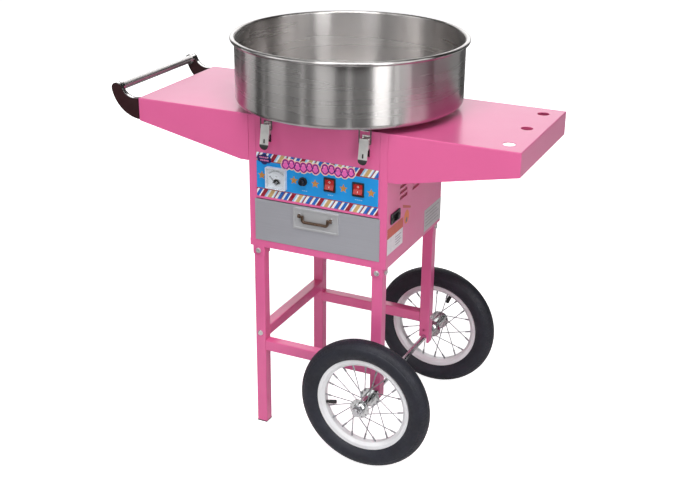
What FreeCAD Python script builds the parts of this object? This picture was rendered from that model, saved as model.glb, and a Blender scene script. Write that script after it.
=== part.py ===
"""Cotton candy cart: a square cabinet with a spinning head and a large bowl, two side shelves,
a drawer, a push handle and a leg frame on two spoked wheels.

Frame: +X to the right along the front, +Y to the back, +Z up, origin on the floor under the
middle of the cabinet. All lengths are millimetres.
"""

import FreeCAD
import Part

import math
import os

import Sketcher

os.makedirs("parts", exist_ok=True)
doc = FreeCAD.newDocument("CottonCandyCart")

# ------------------------------------------------------------------ driving dimensions
SIZES = {
    # cabinet
    "cabinet_width": 328,
    "cabinet_bottom": 452,
    "cabinet_top": 755,
    "sheet": 1.2,
    "post_width": 18,
    "sill_height": 17,
    "panel_bottom": 567,
    "edge_radius": 2,
    # leg frame
    "tube": 25,
    "tube_wall": 1.5,
    "leg_x": 144,
    "leg_y": 149,
    "right_leg_bottom": 137,
    "cross_rail_z": 204,
    "left_rail_z": 234.5,
    "socket": 29,
    "socket_length": 20,
    "foot_thickness": 3,
    "bolt_radius": 3,
    "bolt_head_radius": 5.5,
    "accessory_hole_radius": 3,
    # wheels
    "axle_x": 145,
    "axle_z": 152,
    "axle_radius": 6.35,
    "wheel_y": 217,
    "tyre_radius": 152,
    "tyre_section": 23,
    "tyre_wall": 3.5,
    "rim_radius": 108.7,
    "rim_bed_radius": 94,
    "hub_flange_radius": 22.5,
    "hub_flange_y": 27.5,
    "hub_radius": 12,
    "hub_half_length": 36,
    "spoke_radius": 1.1,
    # bowl and spinning head
    "bowl_radius": 250,
    "bowl_bottom": 769.5,
    "rim_centre_z": 906.5,
    "rim_bead_radius": 5,
    "bowl_wall": 1,
    "head_radius": 64,
    "head_bottom": 792,
    "head_height": 44,
    "shaft_radius": 6,
    "motor_radius": 45,
    # shelves and handle
    "shelf_length": 280,
    "shelf_root_depth": 105,
    "shelf_end_depth": 52,
    "shelf_flat": 21,
    "cone_hole_radius": 13,
    "cone_hole_x": 405,
    "cone_hole_pitch": 120,
    "handle_x": 502.5,
    "handle_z": 770,
    "handle_radius": 9,
    "bracket_thickness": 14,
    # front controls
    "overlay_width": 288.6,
    "overlay_bottom": 572.7,
    "overlay_top": 672.7,
    "control_z": 622,
    "meter_x": -94.3,
    "fuse_x": -31,
    "heat_x": 32.3,
    "power_x": 98.6,
    # drawer
    "drawer_width": 299,
    "drawer_bottom": 469,
    "drawer_top": 565.5,
    "drawer_depth": 292,
    # latches
    "latch_x": 115,
    "latch_pin_z": 735,
    "latch_arm": 6,
    "bail_top_z": 759.6,
}


class Size:
    """A length that knows its value and the spreadsheet expression that gives it."""

    def __init__(self, value, text=None):
        self.value = value
        self.text = repr(float(value)) if text is None else text

    def __add__(self, other):
        other = as_size(other)
        return Size(self.value + other.value, f"({self.text} + {other.text})")

    def __sub__(self, other):
        other = as_size(other)
        return Size(self.value - other.value, f"({self.text} - {other.text})")

    def __mul__(self, other):
        other = as_size(other)
        return Size(self.value * other.value, f"({self.text} * {other.text})")

    def __truediv__(self, other):
        other = as_size(other)
        return Size(self.value / other.value, f"({self.text} / {other.text})")

    def __radd__(self, other):
        return as_size(other) + self

    def __rsub__(self, other):
        return as_size(other) - self

    def __rmul__(self, other):
        return as_size(other) * self

    def __neg__(self):
        return Size(-self.value, f"(-1 * {self.text})")


def as_size(number):
    return number if isinstance(number, Size) else Size(number)


class Sheet:
    """The spreadsheet's cells, as attributes that are Size objects."""

    def __init__(self, table):
        cells = doc.addObject("Spreadsheet::Sheet", "Sizes")
        for row, (alias, value) in enumerate(table.items(), start=1):
            cells.set(f"A{row}", alias)
            cells.set(f"B{row}", str(value))
            cells.setAlias(f"B{row}", alias)
            setattr(self, alias, Size(value, f"Sizes.{alias}"))


S = Sheet(SIZES)
doc.recompute()
parts = []


# ------------------------------------------------------------------ helpers
def bind(obj, prop, size):
    obj.setExpression(prop, as_size(size).text)


def place(obj, x, y, z, rotation=FreeCAD.Rotation()):
    obj.Placement = FreeCAD.Placement(FreeCAD.Vector(), rotation)
    for axis, size in zip("xyz", (x, y, z)):
        bind(obj, f"Placement.Base.{axis}", size)
    return obj


def part(label, obj):
    """Names a finished sub-part."""
    obj.Label = label
    parts.append(obj)
    return obj


def slab(x, y, z):
    """A block between pairs of bounds."""
    box = doc.addObject("Part::Box", "Slab")
    for prop, (low, high) in zip(("Length", "Width", "Height"), (x, y, z)):
        bind(box, prop, as_size(high) - low)
    return place(box, x[0], y[0], z[0])


ALONG = {
    "X": FreeCAD.Rotation(FreeCAD.Vector(0, 1, 0), 90),
    "Y": FreeCAD.Rotation(FreeCAD.Vector(1, 0, 0), -90),
    "Z": FreeCAD.Rotation(),
}


def rod(axis, radius, at, span):
    """A cylinder along an axis: at gives its other two coordinates, span its two ends."""
    cylinder = doc.addObject("Part::Cylinder", "Rod")
    bind(cylinder, "Radius", radius)
    bind(cylinder, "Height", as_size(span[1]) - span[0])
    where = list(at)
    where.insert("XYZ".index(axis), span[0])
    return place(cylinder, *where, ALONG[axis])


def cone(radii, at, span):
    """A tapered cylinder along Y, from the first radius to the second."""
    taper = doc.addObject("Part::Cone", "Taper")
    bind(taper, "Radius1", radii[0])
    bind(taper, "Radius2", radii[1])
    bind(taper, "Height", as_size(span[1]) - span[0])
    return place(taper, at[0], span[0], at[1], ALONG["Y"])


def strut(radius, start, end):
    """A round rod between two points given as plain vectors."""
    cylinder = doc.addObject("Part::Cylinder", "Strut")
    bind(cylinder, "Radius", radius)
    cylinder.Height = (end - start).Length
    turn = FreeCAD.Rotation(FreeCAD.Vector(0, 0, 1), end - start)
    cylinder.Placement = FreeCAD.Placement(start, turn)
    return cylinder


def torus(axis, ring_radius, section_radius, at):
    obj = doc.addObject("Part::Torus", "Ring")
    bind(obj, "Radius1", ring_radius)
    bind(obj, "Radius2", section_radius)
    return place(obj, *at, ALONG[axis])


def fuse(*shapes):
    obj = doc.addObject("Part::MultiFuse", "Fusion")
    obj.Shapes = list(shapes)
    obj.Refine = True
    return obj


def cut(base, *tools):
    obj = doc.addObject("Part::Cut", "Cut")
    obj.Base = base
    obj.Tool = tools[0] if len(tools) == 1 else fuse(*tools)
    return obj


def common(first, second):
    obj = doc.addObject("Part::Common", "Common")
    obj.Base = first
    obj.Tool = second
    return obj


def group(*members):
    """Separate solids that share one sub-part."""
    obj = doc.addObject("Part::Compound", "Group")
    obj.Links = list(members)
    return obj


def tube(axis, outer, inner, at, span):
    """A round tube."""
    low, high = as_size(span[0]), as_size(span[1])
    return cut(rod(axis, outer, at, (low, high)), rod(axis, inner, at, (low - 1, high + 1)))


def origin_plane(body, role):
    return [feature for feature in body.Origin.OriginFeatures if feature.Role == role][0]


def sketch(body, plane, loops, circles=()):
    """A constrained sketch. Each loop is a list of (x, y) or (x, y, radius) points, where a radius makes the
    edge that starts there an arc: positive turns left, negative turns right."""
    drawing = body.newObject("Sketcher::SketchObject", "Sketch")
    drawing.AttachmentSupport = [(origin_plane(body, plane), "")]
    drawing.MapMode = "FlatFace"
    for loop in loops:
        first = drawing.GeometryCount
        corners = [FreeCAD.Vector(as_size(p[0]).value, as_size(p[1]).value, 0) for p in loop]
        for index, point in enumerate(loop):
            start, end = corners[index], corners[(index + 1) % len(loop)]
            if len(point) == 3:
                drawing.addGeometry(arc_between(start, end, as_size(point[2]).value), False)
            else:
                drawing.addGeometry(Part.LineSegment(start, end), False)
        for index, point in enumerate(loop):
            edge, after = first + index, first + (index + 1) % len(loop)
            begins = start_vertex(point)
            ends = 3 - begins
            following = start_vertex(loop[(index + 1) % len(loop)])
            drawing.addConstraint(Sketcher.Constraint("Coincident", edge, ends, after, following))
            for kind, size in (("DistanceX", point[0]), ("DistanceY", point[1])):
                constrain(drawing, (kind, -1, 1, edge, begins), size)
            if len(point) == 3:
                radius = as_size(point[2])
                constrain(drawing, ("Radius", edge), radius if radius.value > 0 else -radius)
    for x, y, radius in circles:
        index = drawing.GeometryCount
        centre = FreeCAD.Vector(as_size(x).value, as_size(y).value, 0)
        circle = Part.Circle(centre, FreeCAD.Vector(0, 0, 1), as_size(radius).value)
        drawing.addGeometry(circle, False)
        constrain(drawing, ("DistanceX", -1, 1, index, 3), x)
        constrain(drawing, ("DistanceY", -1, 1, index, 3), y)
        constrain(drawing, ("Radius", index), radius)
    return drawing


def start_vertex(point):
    """An arc is stored anticlockwise, so one that turns right starts at its second vertex."""
    return 2 if len(point) == 3 and as_size(point[2]).value < 0 else 1


def arc_between(start, end, radius):
    """The shorter arc from start to end; a positive radius turns left."""
    chord = end - start
    half = chord.Length / 2
    rise = math.sqrt(max(radius * radius - half * half, 0))
    side = FreeCAD.Vector(-chord.y, chord.x, 0).normalize() * math.copysign(1, radius)
    centre = start + chord * 0.5 + side * rise
    angles = [math.atan2(p.y - centre.y, p.x - centre.x) for p in (start, end)]
    if radius < 0:
        angles.reverse()
    circle = Part.Circle(centre, FreeCAD.Vector(0, 0, 1), abs(radius))
    return Part.ArcOfCircle(circle, angles[0], angles[1])


def constrain(drawing, words, size):
    size = as_size(size)
    index = drawing.addConstraint(Sketcher.Constraint(*words, size.value))
    drawing.setExpression(f"Constraints[{index}]", size.text)


def rounded(x, y, radius):
    """A rectangle's loop between pairs of bounds, with round corners."""
    (x0, x1), (y0, y1) = [(as_size(low), as_size(high)) for low, high in (x, y)]
    return [
        (x0 + radius, y0),
        (x1 - radius, y0, radius),
        (x1, y0 + radius),
        (x1, y1 - radius, radius),
        (x1 - radius, y1),
        (x0 + radius, y1, radius),
        (x0, y1 - radius),
        (x0, y0 + radius, radius),
    ]


def rectangle(x, y):
    return [(x[0], y[0]), (x[1], y[0]), (x[1], y[1]), (x[0], y[1])]


def pad(plane, loops, length, circles=(), side="One side", body=None):
    """A body padded from a sketch, along the plane's normal: XY to +Z, XZ to -Y, YZ to +X."""
    body = body or doc.addObject("PartDesign::Body", "Body")
    feature = body.newObject("PartDesign::Pad", "Pad")
    feature.Profile = sketch(body, plane, loops, circles)
    feature.SideType = side
    bind(feature, "Length", length)
    body.Tip = feature
    return body


def revolve(plane, loop, x, y, z):
    """A turned body: the sketch's first axis is the radius, and its second is the axis of revolution."""
    body = doc.addObject("PartDesign::Body", "Body")
    drawing = sketch(body, plane, [loop])
    feature = body.newObject("PartDesign::Revolution", "Revolution")
    feature.Profile = drawing
    feature.ReferenceAxis = (drawing, ["V_Axis"])
    feature.Angle = 360
    body.Tip = feature
    return place(body, x, y, z)


def round_edges(body, radius, wanted):
    """Rounds the straight edges of the body's last feature whose middles pass the test."""
    doc.recompute()
    solid = body.Tip
    names = []
    for index, edge in enumerate(solid.Shape.Edges, start=1):
        if wanted(edge.CenterOfMass):
            names.append(f"Edge{index}")
    feature = body.newObject("PartDesign::Fillet", "Fillet")
    feature.Base = (solid, names)
    bind(feature, "Radius", radius)
    body.Tip = feature
    return body


def bent_rod(label, points, radius, bend):
    """A round wire through points, with arcs of one bend radius at its corners."""
    edges = []
    last = points[0]
    for before, corner, after in zip(points, points[1:], points[2:]):
        into = (corner - before).normalize()
        out = (after - corner).normalize()
        turn = into.getAngle(out)
        reach = bend * math.tan(turn / 2)
        start, end = corner - into * reach, corner + out * reach
        inward = (out - into).normalize()
        centre = corner + inward * (bend / math.cos(turn / 2))
        middle = centre - inward * bend
        if (start - last).Length > 1e-6:
            edges.append(Part.LineSegment(last, start).toShape())
        edges.append(Part.Arc(start, middle, end).toShape())
        last = end
    edges.append(Part.LineSegment(last, points[-1]).toShape())
    direction = points[1] - points[0]
    section = Part.Wire(Part.Circle(points[0], direction, radius).toShape())
    obj = doc.addObject("Part::Feature", label)
    obj.Shape = Part.Wire(edges).makePipeShell([section], True, False)
    return obj


def vector(x, y, z):
    return FreeCAD.Vector(*[as_size(size).value for size in (x, y, z)])


half_cabinet = S.cabinet_width / 2
front_y = -half_cabinet
half_tube = S.tube / 2
shelf_top = S.cabinet_top


# ------------------------------------------------------------------ leg frame
def square_tube(axis, at, span):
    """A square tube with round outer corners along an axis; at is its centre line."""
    corner = 2.5
    inner = half_tube - S.tube_wall
    outer_loop = rounded((-half_tube, half_tube), (-half_tube, half_tube), corner)
    inner_loop = rectangle((-inner, inner), (-inner, inner))
    plane = {"X": "YZ_Plane", "Y": "XZ_Plane", "Z": "XY_Plane"}[axis]
    body = pad(plane, [outer_loop, inner_loop], as_size(span[1]) - span[0])
    where = list(at)
    where.insert("XYZ".index(axis), span[1] if axis == "Y" else span[0])
    return place(body, *where)


def leg(x_side, y_side, bottom):
    """One leg with its bolt holes."""
    x, y = S.leg_x * x_side, S.leg_y * y_side
    clear = S.bolt_radius + 0.1
    socket_bolt_z = S.cabinet_bottom - S.socket_length / 2 - 1
    outer_x, outer_y = x + half_tube * x_side, y + half_tube * y_side
    tools = [
        rod("X", clear, (y, S.cross_rail_z), (x - half_tube - 1, x + half_tube + 1)),
        rod("X", clear, (y, socket_bolt_z), (outer_x - 3, outer_x + 3)),
        rod("Y", clear, (x, socket_bolt_z), (outer_y - 3, outer_y + 3)),
    ]
    if x_side < 0:
        tools.append(rod("Y", clear, (x, S.left_rail_z), (y - half_tube - 1, y + half_tube + 1)))
    else:
        tools.append(axle_hook(y))
        hole_z = S.axle_z + 18
        tools.append(rod("Y", S.accessory_hole_radius, (x, hole_z), (y - half_tube - 1, y + half_tube + 1)))
    return cut(square_tube("Z", (x, y), (bottom, S.cabinet_bottom)), *tools)


def axle_hook(y):
    """What is cut from the foot of a right leg, so that it hooks over the axle."""
    seat = S.axle_radius + 0.1
    span = (y - half_tube - 1, y + half_tube + 1)
    round_top = rod("Y", seat, (S.axle_x, S.axle_z), span)
    mouth = slab(
        (S.leg_x - half_tube - 1, S.axle_x + seat), span, (S.right_leg_bottom - 1, S.axle_z)
    )
    return fuse(round_top, mouth)


def foot_cap(y_side):
    """A black plug in the bottom of a left leg, with a flange that stands on the floor."""
    x, y = -S.leg_x, S.leg_y * y_side
    inner = half_tube - S.tube_wall - 0.1
    sole = slab((x - half_tube, x + half_tube), (y - half_tube, y + half_tube), (0, S.foot_thickness))
    plug = slab((x - inner, x + inner), (y - inner, y + inner), (S.foot_thickness, S.foot_thickness + 14))
    return fuse(sole, plug)


def rail_plug(axis, at, start, direction):
    """A square nut plate in a rail's end, which its bolt screws into."""
    half = half_tube - S.tube_wall - 0.1
    end = start + 9 * direction
    low, high = (start, end) if direction > 0 else (end, start)
    bounds = [(value - half, value + half) for value in at]
    bounds.insert("XYZ".index(axis), (low, high))
    return cut(slab(*bounds), rod(axis, S.bolt_radius + 0.05, at, (low - 1, high + 1)))


def bolt(axis, at, face, direction, length):
    """A button-head screw: its head sits on face, and its shank points along direction."""
    head_end = face - 3.4 * direction
    tip = face + length * direction
    neck = face - 0.2 * direction
    washer_end = face - 1.2 * direction
    spans = [sorted(pair, key=lambda s: as_size(s).value) for pair in ((head_end, face), (neck, tip), (washer_end, face))]
    head = rod(axis, S.bolt_head_radius - 0.5, at, spans[0])
    shank = rod(axis, S.bolt_radius, at, spans[1])
    washer = rod(axis, S.bolt_head_radius + 0.7, at, spans[2])
    socket = rod(axis, 1.9, at, sorted((head_end - 1 * direction, head_end + 1.8 * direction), key=lambda s: s.value))
    return cut(fuse(head, shank, washer), socket)


part("left_legs", group(*[leg(-1, side, S.foot_thickness) for side in (-1, 1)]))
part("right_legs", group(*[leg(1, side, S.right_leg_bottom) for side in (-1, 1)]))
part("foot_caps", group(*[foot_cap(side) for side in (-1, 1)]))

rail_end_x = S.leg_x - half_tube
rail_end_y = S.leg_y - half_tube
cross_rails = []
for side in (-1, 1):
    at = (S.leg_y * side, S.cross_rail_z)
    cross_rails.append(square_tube("X", at, (-rail_end_x, rail_end_x)))
part("cross_rails", group(*cross_rails))
part("left_rail", square_tube("Y", (-S.leg_x, S.left_rail_z), (-rail_end_y, rail_end_y)))

plugs = []
frame_bolts = []
for side in (-1, 1):
    left_at = (-S.leg_x, S.left_rail_z)
    plugs.append(rail_plug("Y", left_at, rail_end_y * side - 0.5 * side, -side))
    frame_bolts.append(bolt("Y", left_at, (S.leg_y + half_tube) * side, -side, 34))
    cross_at = (S.leg_y * side, S.cross_rail_z)
    for end in (-1, 1):
        plugs.append(rail_plug("X", cross_at, rail_end_x * end - 0.5 * end, -end))
        frame_bolts.append(bolt("X", cross_at, (S.leg_x + half_tube) * end, -end, 34))
for x_side in (-1, 1):
    for y_side in (-1, 1):
        x, y = S.leg_x * x_side, S.leg_y * y_side
        z = S.cabinet_bottom - S.socket_length / 2 - 1
        frame_bolts.append(bolt("X", (y, z), x + S.socket / 2 * x_side, -x_side, 8))
        frame_bolts.append(bolt("Y", (x, z), y + S.socket / 2 * y_side, -y_side, 8))
part("frame_bolts_and_plugs", group(*frame_bolts, *plugs))


# ------------------------------------------------------------------ axle and wheels
def hexagon(across_flats, x, z, y_span):
    """A hexagonal prism along Y."""
    radius = across_flats / 2 / math.cos(math.pi / 6)
    corners = []
    for index in range(6):
        angle = math.radians(60 * index + 30)
        corners.append((radius * math.cos(angle), radius * math.sin(angle)))
    body = pad("XZ_Plane", [corners], as_size(y_span[1]) - y_span[0])
    return place(body, x, y_span[1], z)


hub_end_y = S.wheel_y + S.hub_half_length
axle_at = (S.axle_x, S.axle_z)
part("axle", rod("Y", S.axle_radius, axle_at, (-(hub_end_y + 15), hub_end_y + 15)))


def side_span(side, near, far):
    """A span along Y between two distances from the middle, on one side."""
    return (near, far) if side > 0 else (-far, -near)


def axle_fittings(side):
    """The spacer, bearing cones, washer and nut that hold one wheel on the axle."""
    bore = S.axle_radius + 0.02
    leg_face = S.leg_y + half_tube
    hub_start = S.wheel_y - S.hub_half_length
    spacer = tube("Y", 9.5, bore, axle_at, side_span(side, leg_face + 0.1, hub_start - 0.4))
    cones = [
        tube("Y", 9.95, bore, axle_at, side_span(side, start, start + 9))
        for start in (hub_start, hub_end_y - 9)
    ]
    washer = tube("Y", 11, bore, axle_at, side_span(side, hub_end_y + 0.3, hub_end_y + 2.3))
    nut_span = side_span(side, hub_end_y + 2.3, hub_end_y + 12.3)
    nut = cut(hexagon(18, S.axle_x, S.axle_z, nut_span), rod("Y", bore, axle_at, side_span(side, 240, 300)))
    return [spacer, washer, nut, *cones]


part("axle_fittings", group(*axle_fittings(-1), *axle_fittings(1)))


def wheel(name, side, valve_angle):
    """One wheel's tyre, inner tube with valve, rim, spokes and hub, about an axis along Y."""
    centre = (S.axle_x, S.wheel_y * side, S.axle_z)
    cx, cy, cz = centre
    ring_radius = S.tyre_radius - S.tyre_section
    cavity = S.tyre_section - S.tyre_wall
    seat = S.rim_radius - 0.5
    arch = cut(
        torus("Y", ring_radius, S.tyre_section, centre),
        torus("Y", ring_radius, cavity, centre),
        rod("Y", seat, (cx, cz), (cy - 30, cy + 30)),
    )
    bead_inner, bead_outer = 7.6, 11.2
    beads = [
        tube("Y", seat + 2.8, seat - 5, (cx, cz), span)
        for span in ((cy - bead_outer, cy - bead_inner), (cy + bead_inner, cy + bead_outer))
    ]
    channel = rod("Y", seat + 2.8, (cx, cz), (cy - bead_inner, cy + bead_inner))
    part(f"{name}_tyre", cut(fuse(arch, *beads), channel))

    outward = FreeCAD.Vector(math.cos(math.radians(valve_angle)), 0, math.sin(math.radians(valve_angle)))
    middle = vector(*centre)
    tube_radius = cavity - 0.4
    stem_end = S.rim_bed_radius.value - 20
    stem = strut(3.2, middle + outward * stem_end, middle + outward * (ring_radius - tube_radius + 1.5).value)
    cap = strut(4.4, middle + outward * (stem_end - 3), middle + outward * (stem_end + 14))
    bladder = cut(
        torus("Y", ring_radius, tube_radius, centre), torus("Y", ring_radius, tube_radius - 2, centre)
    )
    part(f"{name}_inner_tube", fuse(bladder, stem, cap))

    lip, bed, wall = S.rim_radius, S.rim_bed_radius, 1.6
    lip_half, bed_half = 13, 7.5
    profile = [
        (bed, -bed_half),
        (lip - 8, -lip_half),
        (lip, -lip_half),
        (lip, -lip_half + wall),
        (lip - 7, -lip_half + wall),
        (bed + wall, -bed_half + 0.6),
        (bed + wall, bed_half - 0.6),
        (lip - 7, lip_half - wall),
        (lip, lip_half - wall),
        (lip, lip_half),
        (lip - 8, lip_half),
        (bed, bed_half),
    ]
    hoop = revolve("XY_Plane", profile, *centre)
    drill = strut(4.3, middle + outward * (bed.value - 5), middle + outward * (lip.value + 5))
    part(f"{name}_rim", cut(hoop, drill))

    flange, barrel, half = S.hub_flange_radius, S.hub_radius, S.hub_half_length
    near, far = S.hub_flange_y - 1.3, S.hub_flange_y + 1.3
    bore = 10
    outline = [(bore, -half), (barrel, -half), (barrel + 1.5, -far), (flange, -far), (flange, -near)]
    outline += [(barrel, -near), (barrel - 1, 0), (barrel, near), (flange, near), (flange, far)]
    outline += [(barrel + 1.5, far), (barrel, half), (bore, half)]
    shell = revolve("XY_Plane", outline, *centre)
    holes = []
    hole_circle = flange.value - 3.6
    for step in range(10):
        for flange_side in (-1, 1):
            angle = math.radians(36 * step + (18 if flange_side > 0 else 0))
            x = cx + hole_circle * math.cos(angle)
            z = cz + hole_circle * math.sin(angle)
            low = cy + S.hub_flange_y * flange_side - 3
            holes.append(rod("Y", 1.5, (x, z), (low, low + 6)))
    part(f"{name}_hub", cut(shell, *holes))
    part(f"{name}_spokes", group(*spoke_set(middle, hole_circle)))


def spoke_set(middle, hole_circle):
    """Twenty spokes, ten to a flange, with a nipple at the rim. The two flanges' spokes lean opposite ways."""
    spokes = []
    for index in range(20):
        flange_side = 1 if index % 2 else -1
        lead = 36 * flange_side
        rim_angle = math.radians(18 * index)
        hub_angle = math.radians(18 * index + lead)
        flange_face = flange_side * (S.hub_flange_y.value - 1.3)
        stand_off = -flange_side * (S.spoke_radius.value + 0.15)
        rim_reach = S.rim_bed_radius.value - 1
        hole = FreeCAD.Vector(math.cos(hub_angle), 0, math.sin(hub_angle)) * hole_circle
        elbow = middle + hole + FreeCAD.Vector(0, flange_face + stand_off, 0)
        foot = FreeCAD.Vector(math.cos(rim_angle), 0, math.sin(rim_angle)) * rim_reach
        end = middle + foot + FreeCAD.Vector(0, flange_side * 2, 0)
        along = (end - elbow).normalize()
        through = FreeCAD.Vector(0, flange_side * 4.6, 0)
        wire = strut(S.spoke_radius, elbow - along * 1.5, end - along * 4)
        head = strut(S.spoke_radius, elbow, elbow + through)
        nipple = strut(2.1, end - along * 13, end)
        spokes.append(fuse(wire, head, nipple))
    return spokes


wheel("front_wheel", -1, 192)
wheel("rear_wheel", 1, 67)


# ------------------------------------------------------------------ cabinet
def cabinet_shell():
    """The wrap of both sides and the back, with front posts, vents and the inlet's cut-out."""
    half, sheet = half_cabinet, S.sheet
    floor, ceiling = S.cabinet_bottom + sheet, S.cabinet_top - sheet
    sill_top = S.cabinet_bottom + S.sill_height
    post = half - S.post_width
    corner = S.edge_radius
    loop = [
        (-post, front_y),
        (-post, front_y + sheet),
        (-half + sheet, front_y + sheet),
        (-half + sheet, half - sheet),
        (half - sheet, half - sheet),
        (half - sheet, front_y + sheet),
        (post, front_y + sheet),
        (post, front_y),
        (half - corner, front_y, corner),
        (half, front_y + corner),
        (half, half - corner, corner),
        (half - corner, half),
        (-half + corner, half, corner),
        (-half, half - corner),
        (-half, front_y + corner, corner),
        (-half + corner, front_y),
    ]
    wrap = place(pad("XY_Plane", [loop], ceiling - floor), 0, 0, floor)
    tools = [slab((-half - 1, half + 1), (front_y - 1, front_y + sheet + 0.05), (floor - 1, sill_top + 0.1))]
    for wall in (-half, half):
        tools.append(vent_slots("X", wall, 70.0))
    tools.append(vent_slots("Y", half, 0.0))
    inlet_y, inlet_z = -117.5, 559.5
    through = (half - 3, half + 3)
    tools.append(slab(through, (inlet_y - 14, inlet_y + 14), (inlet_z - 10.3, inlet_z + 10.3)))
    for side in (-1, 1):
        tools.append(rod("X", 1.7, (inlet_y + 20 * side, inlet_z), through))
    for wall in (-1, 1):
        for y, z in shelf_bolt_places():
            tools.append(rod("X", S.bolt_radius + 0.1, (y, z), (half * wall - 3, half * wall + 3)))
    return cut(wrap, *tools)


def vent_slots(axis, wall, shift):
    """Three columns of four round-ended slots through a wall."""
    slots = []
    half_height, half_length = 3.6, 21
    for column in range(3):
        middle = shift - 142 + 72 * column if axis == "X" else shift - 72 + 72 * column
        for row in range(4):
            z = 591 + 12.6 * row
            straight = half_length - half_height
            low, high = wall - 3, wall + 3
            across = (middle - straight, middle + straight)
            if axis == "X":
                bar = slab((low, high), across, (z - half_height, z + half_height))
                ends = [rod("X", half_height, (end, z), (low, high)) for end in across]
            else:
                bar = slab(across, (low, high), (z - half_height, z + half_height))
                ends = [rod("Y", half_height, (end, z), (low, high)) for end in across]
            slots.append(fuse(bar, *ends))
    return fuse(*slots)


def shelf_bolt_places():
    return [(155 * side, z) for side in (-1, 1) for z in (672, 733)]


def base_pan():
    """The cabinet's floor, its front sill and the four leg sockets welded under it."""
    half, sheet = half_cabinet, S.sheet
    floor = slab((-half, half), (front_y, half), (S.cabinet_bottom, S.cabinet_bottom + sheet))
    sill_top = S.cabinet_bottom + S.sill_height
    sill = slab((-half, half), (front_y, front_y + sheet), (S.cabinet_bottom, sill_top))
    inside = half_tube + 0.1
    outside = S.socket / 2
    collars = []
    screws = []
    for x_side in (-1, 1):
        for y_side in (-1, 1):
            x, y = S.leg_x * x_side, S.leg_y * y_side
            z = S.cabinet_bottom - S.socket_length / 2 - 1
            body = pad(
                "XY_Plane",
                [
                    rounded((-outside, outside), (-outside, outside), 3),
                    rounded((-inside, inside), (-inside, inside), 2),
                ],
                S.socket_length,
            )
            collars.append(place(body, x, y, S.cabinet_bottom - S.socket_length))
            screws.append(rod("X", S.bolt_radius + 0.1, (y, z), sorted_span(x, x + 20 * x_side)))
            screws.append(rod("Y", S.bolt_radius + 0.1, (x, z), sorted_span(y, y + 20 * y_side)))
    return cut(fuse(floor, sill, *collars), *screws)


def sorted_span(first, second):
    return tuple(sorted((first, second), key=lambda size: size.value))


def meter_opening():
    return (S.meter_x, S.control_z - 2, 19.5)


SWITCH_HALF_WIDTH = 11.3
SWITCH_HALF_HEIGHT = 14.2


def control_holes(clearance):
    """The control cut-outs shared by the front panel and its printed overlay."""
    loops = []
    for x in (S.heat_x, S.power_x):
        wide, tall = SWITCH_HALF_WIDTH + clearance, SWITCH_HALF_HEIGHT + clearance
        z = S.control_z + 2.3
        loops.append(rectangle((x - wide, x + wide), (z - tall, z + tall)))
    circles = [meter_opening(), (S.fuse_x, S.control_z, 6.3 + clearance)]
    return loops, circles


def front_panel():
    """The plate between the posts that carries the latches and the controls."""
    edge = half_cabinet - S.post_width - 0.3
    loops, circles = control_holes(0)
    outline = rectangle((-edge, edge), (S.panel_bottom, S.cabinet_top - S.sheet))
    plate = place(pad("XZ_Plane", [outline] + loops, S.sheet, circles), 0, front_y + S.sheet, 0)
    ledge = slab((-edge, edge), (front_y, front_y + 14), (S.panel_bottom, S.panel_bottom + S.sheet))
    return fuse(plate, ledge)


def overlay():
    """The thin printed sheet stuck on the front panel."""
    half = S.overlay_width / 2
    loops, circles = control_holes(0.2)
    outline = rectangle((-half, half), (S.overlay_bottom, S.overlay_top))
    return place(pad("XZ_Plane", [outline] + loops, OVERLAY_THICKNESS, circles), 0, front_y, 0)


OVERLAY_THICKNESS = 0.4
MOTOR_MOUNT_RADIUS = 62


def mount_places():
    reach = MOTOR_MOUNT_RADIUS * math.cos(math.pi / 4)
    return [(reach * x, reach * y) for x in (-1, 1) for y in (-1, 1)]


def top_plate():
    """The cabinet's lid, with a hole for the drive shaft and four for the motor's mounts."""
    half = half_cabinet
    circles = [(0, 0, 24)] + [(x, y, 3.2) for x, y in mount_places()]
    body = pad("XY_Plane", [rectangle((-half, half), (-half, half))], S.sheet, circles)
    return place(body, 0, 0, S.cabinet_top - S.sheet)


part("cabinet_shell", cabinet_shell())
part("base_pan", base_pan())
part("front_panel", front_panel())
part("control_overlay", overlay())
part("top_plate", top_plate())


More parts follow.
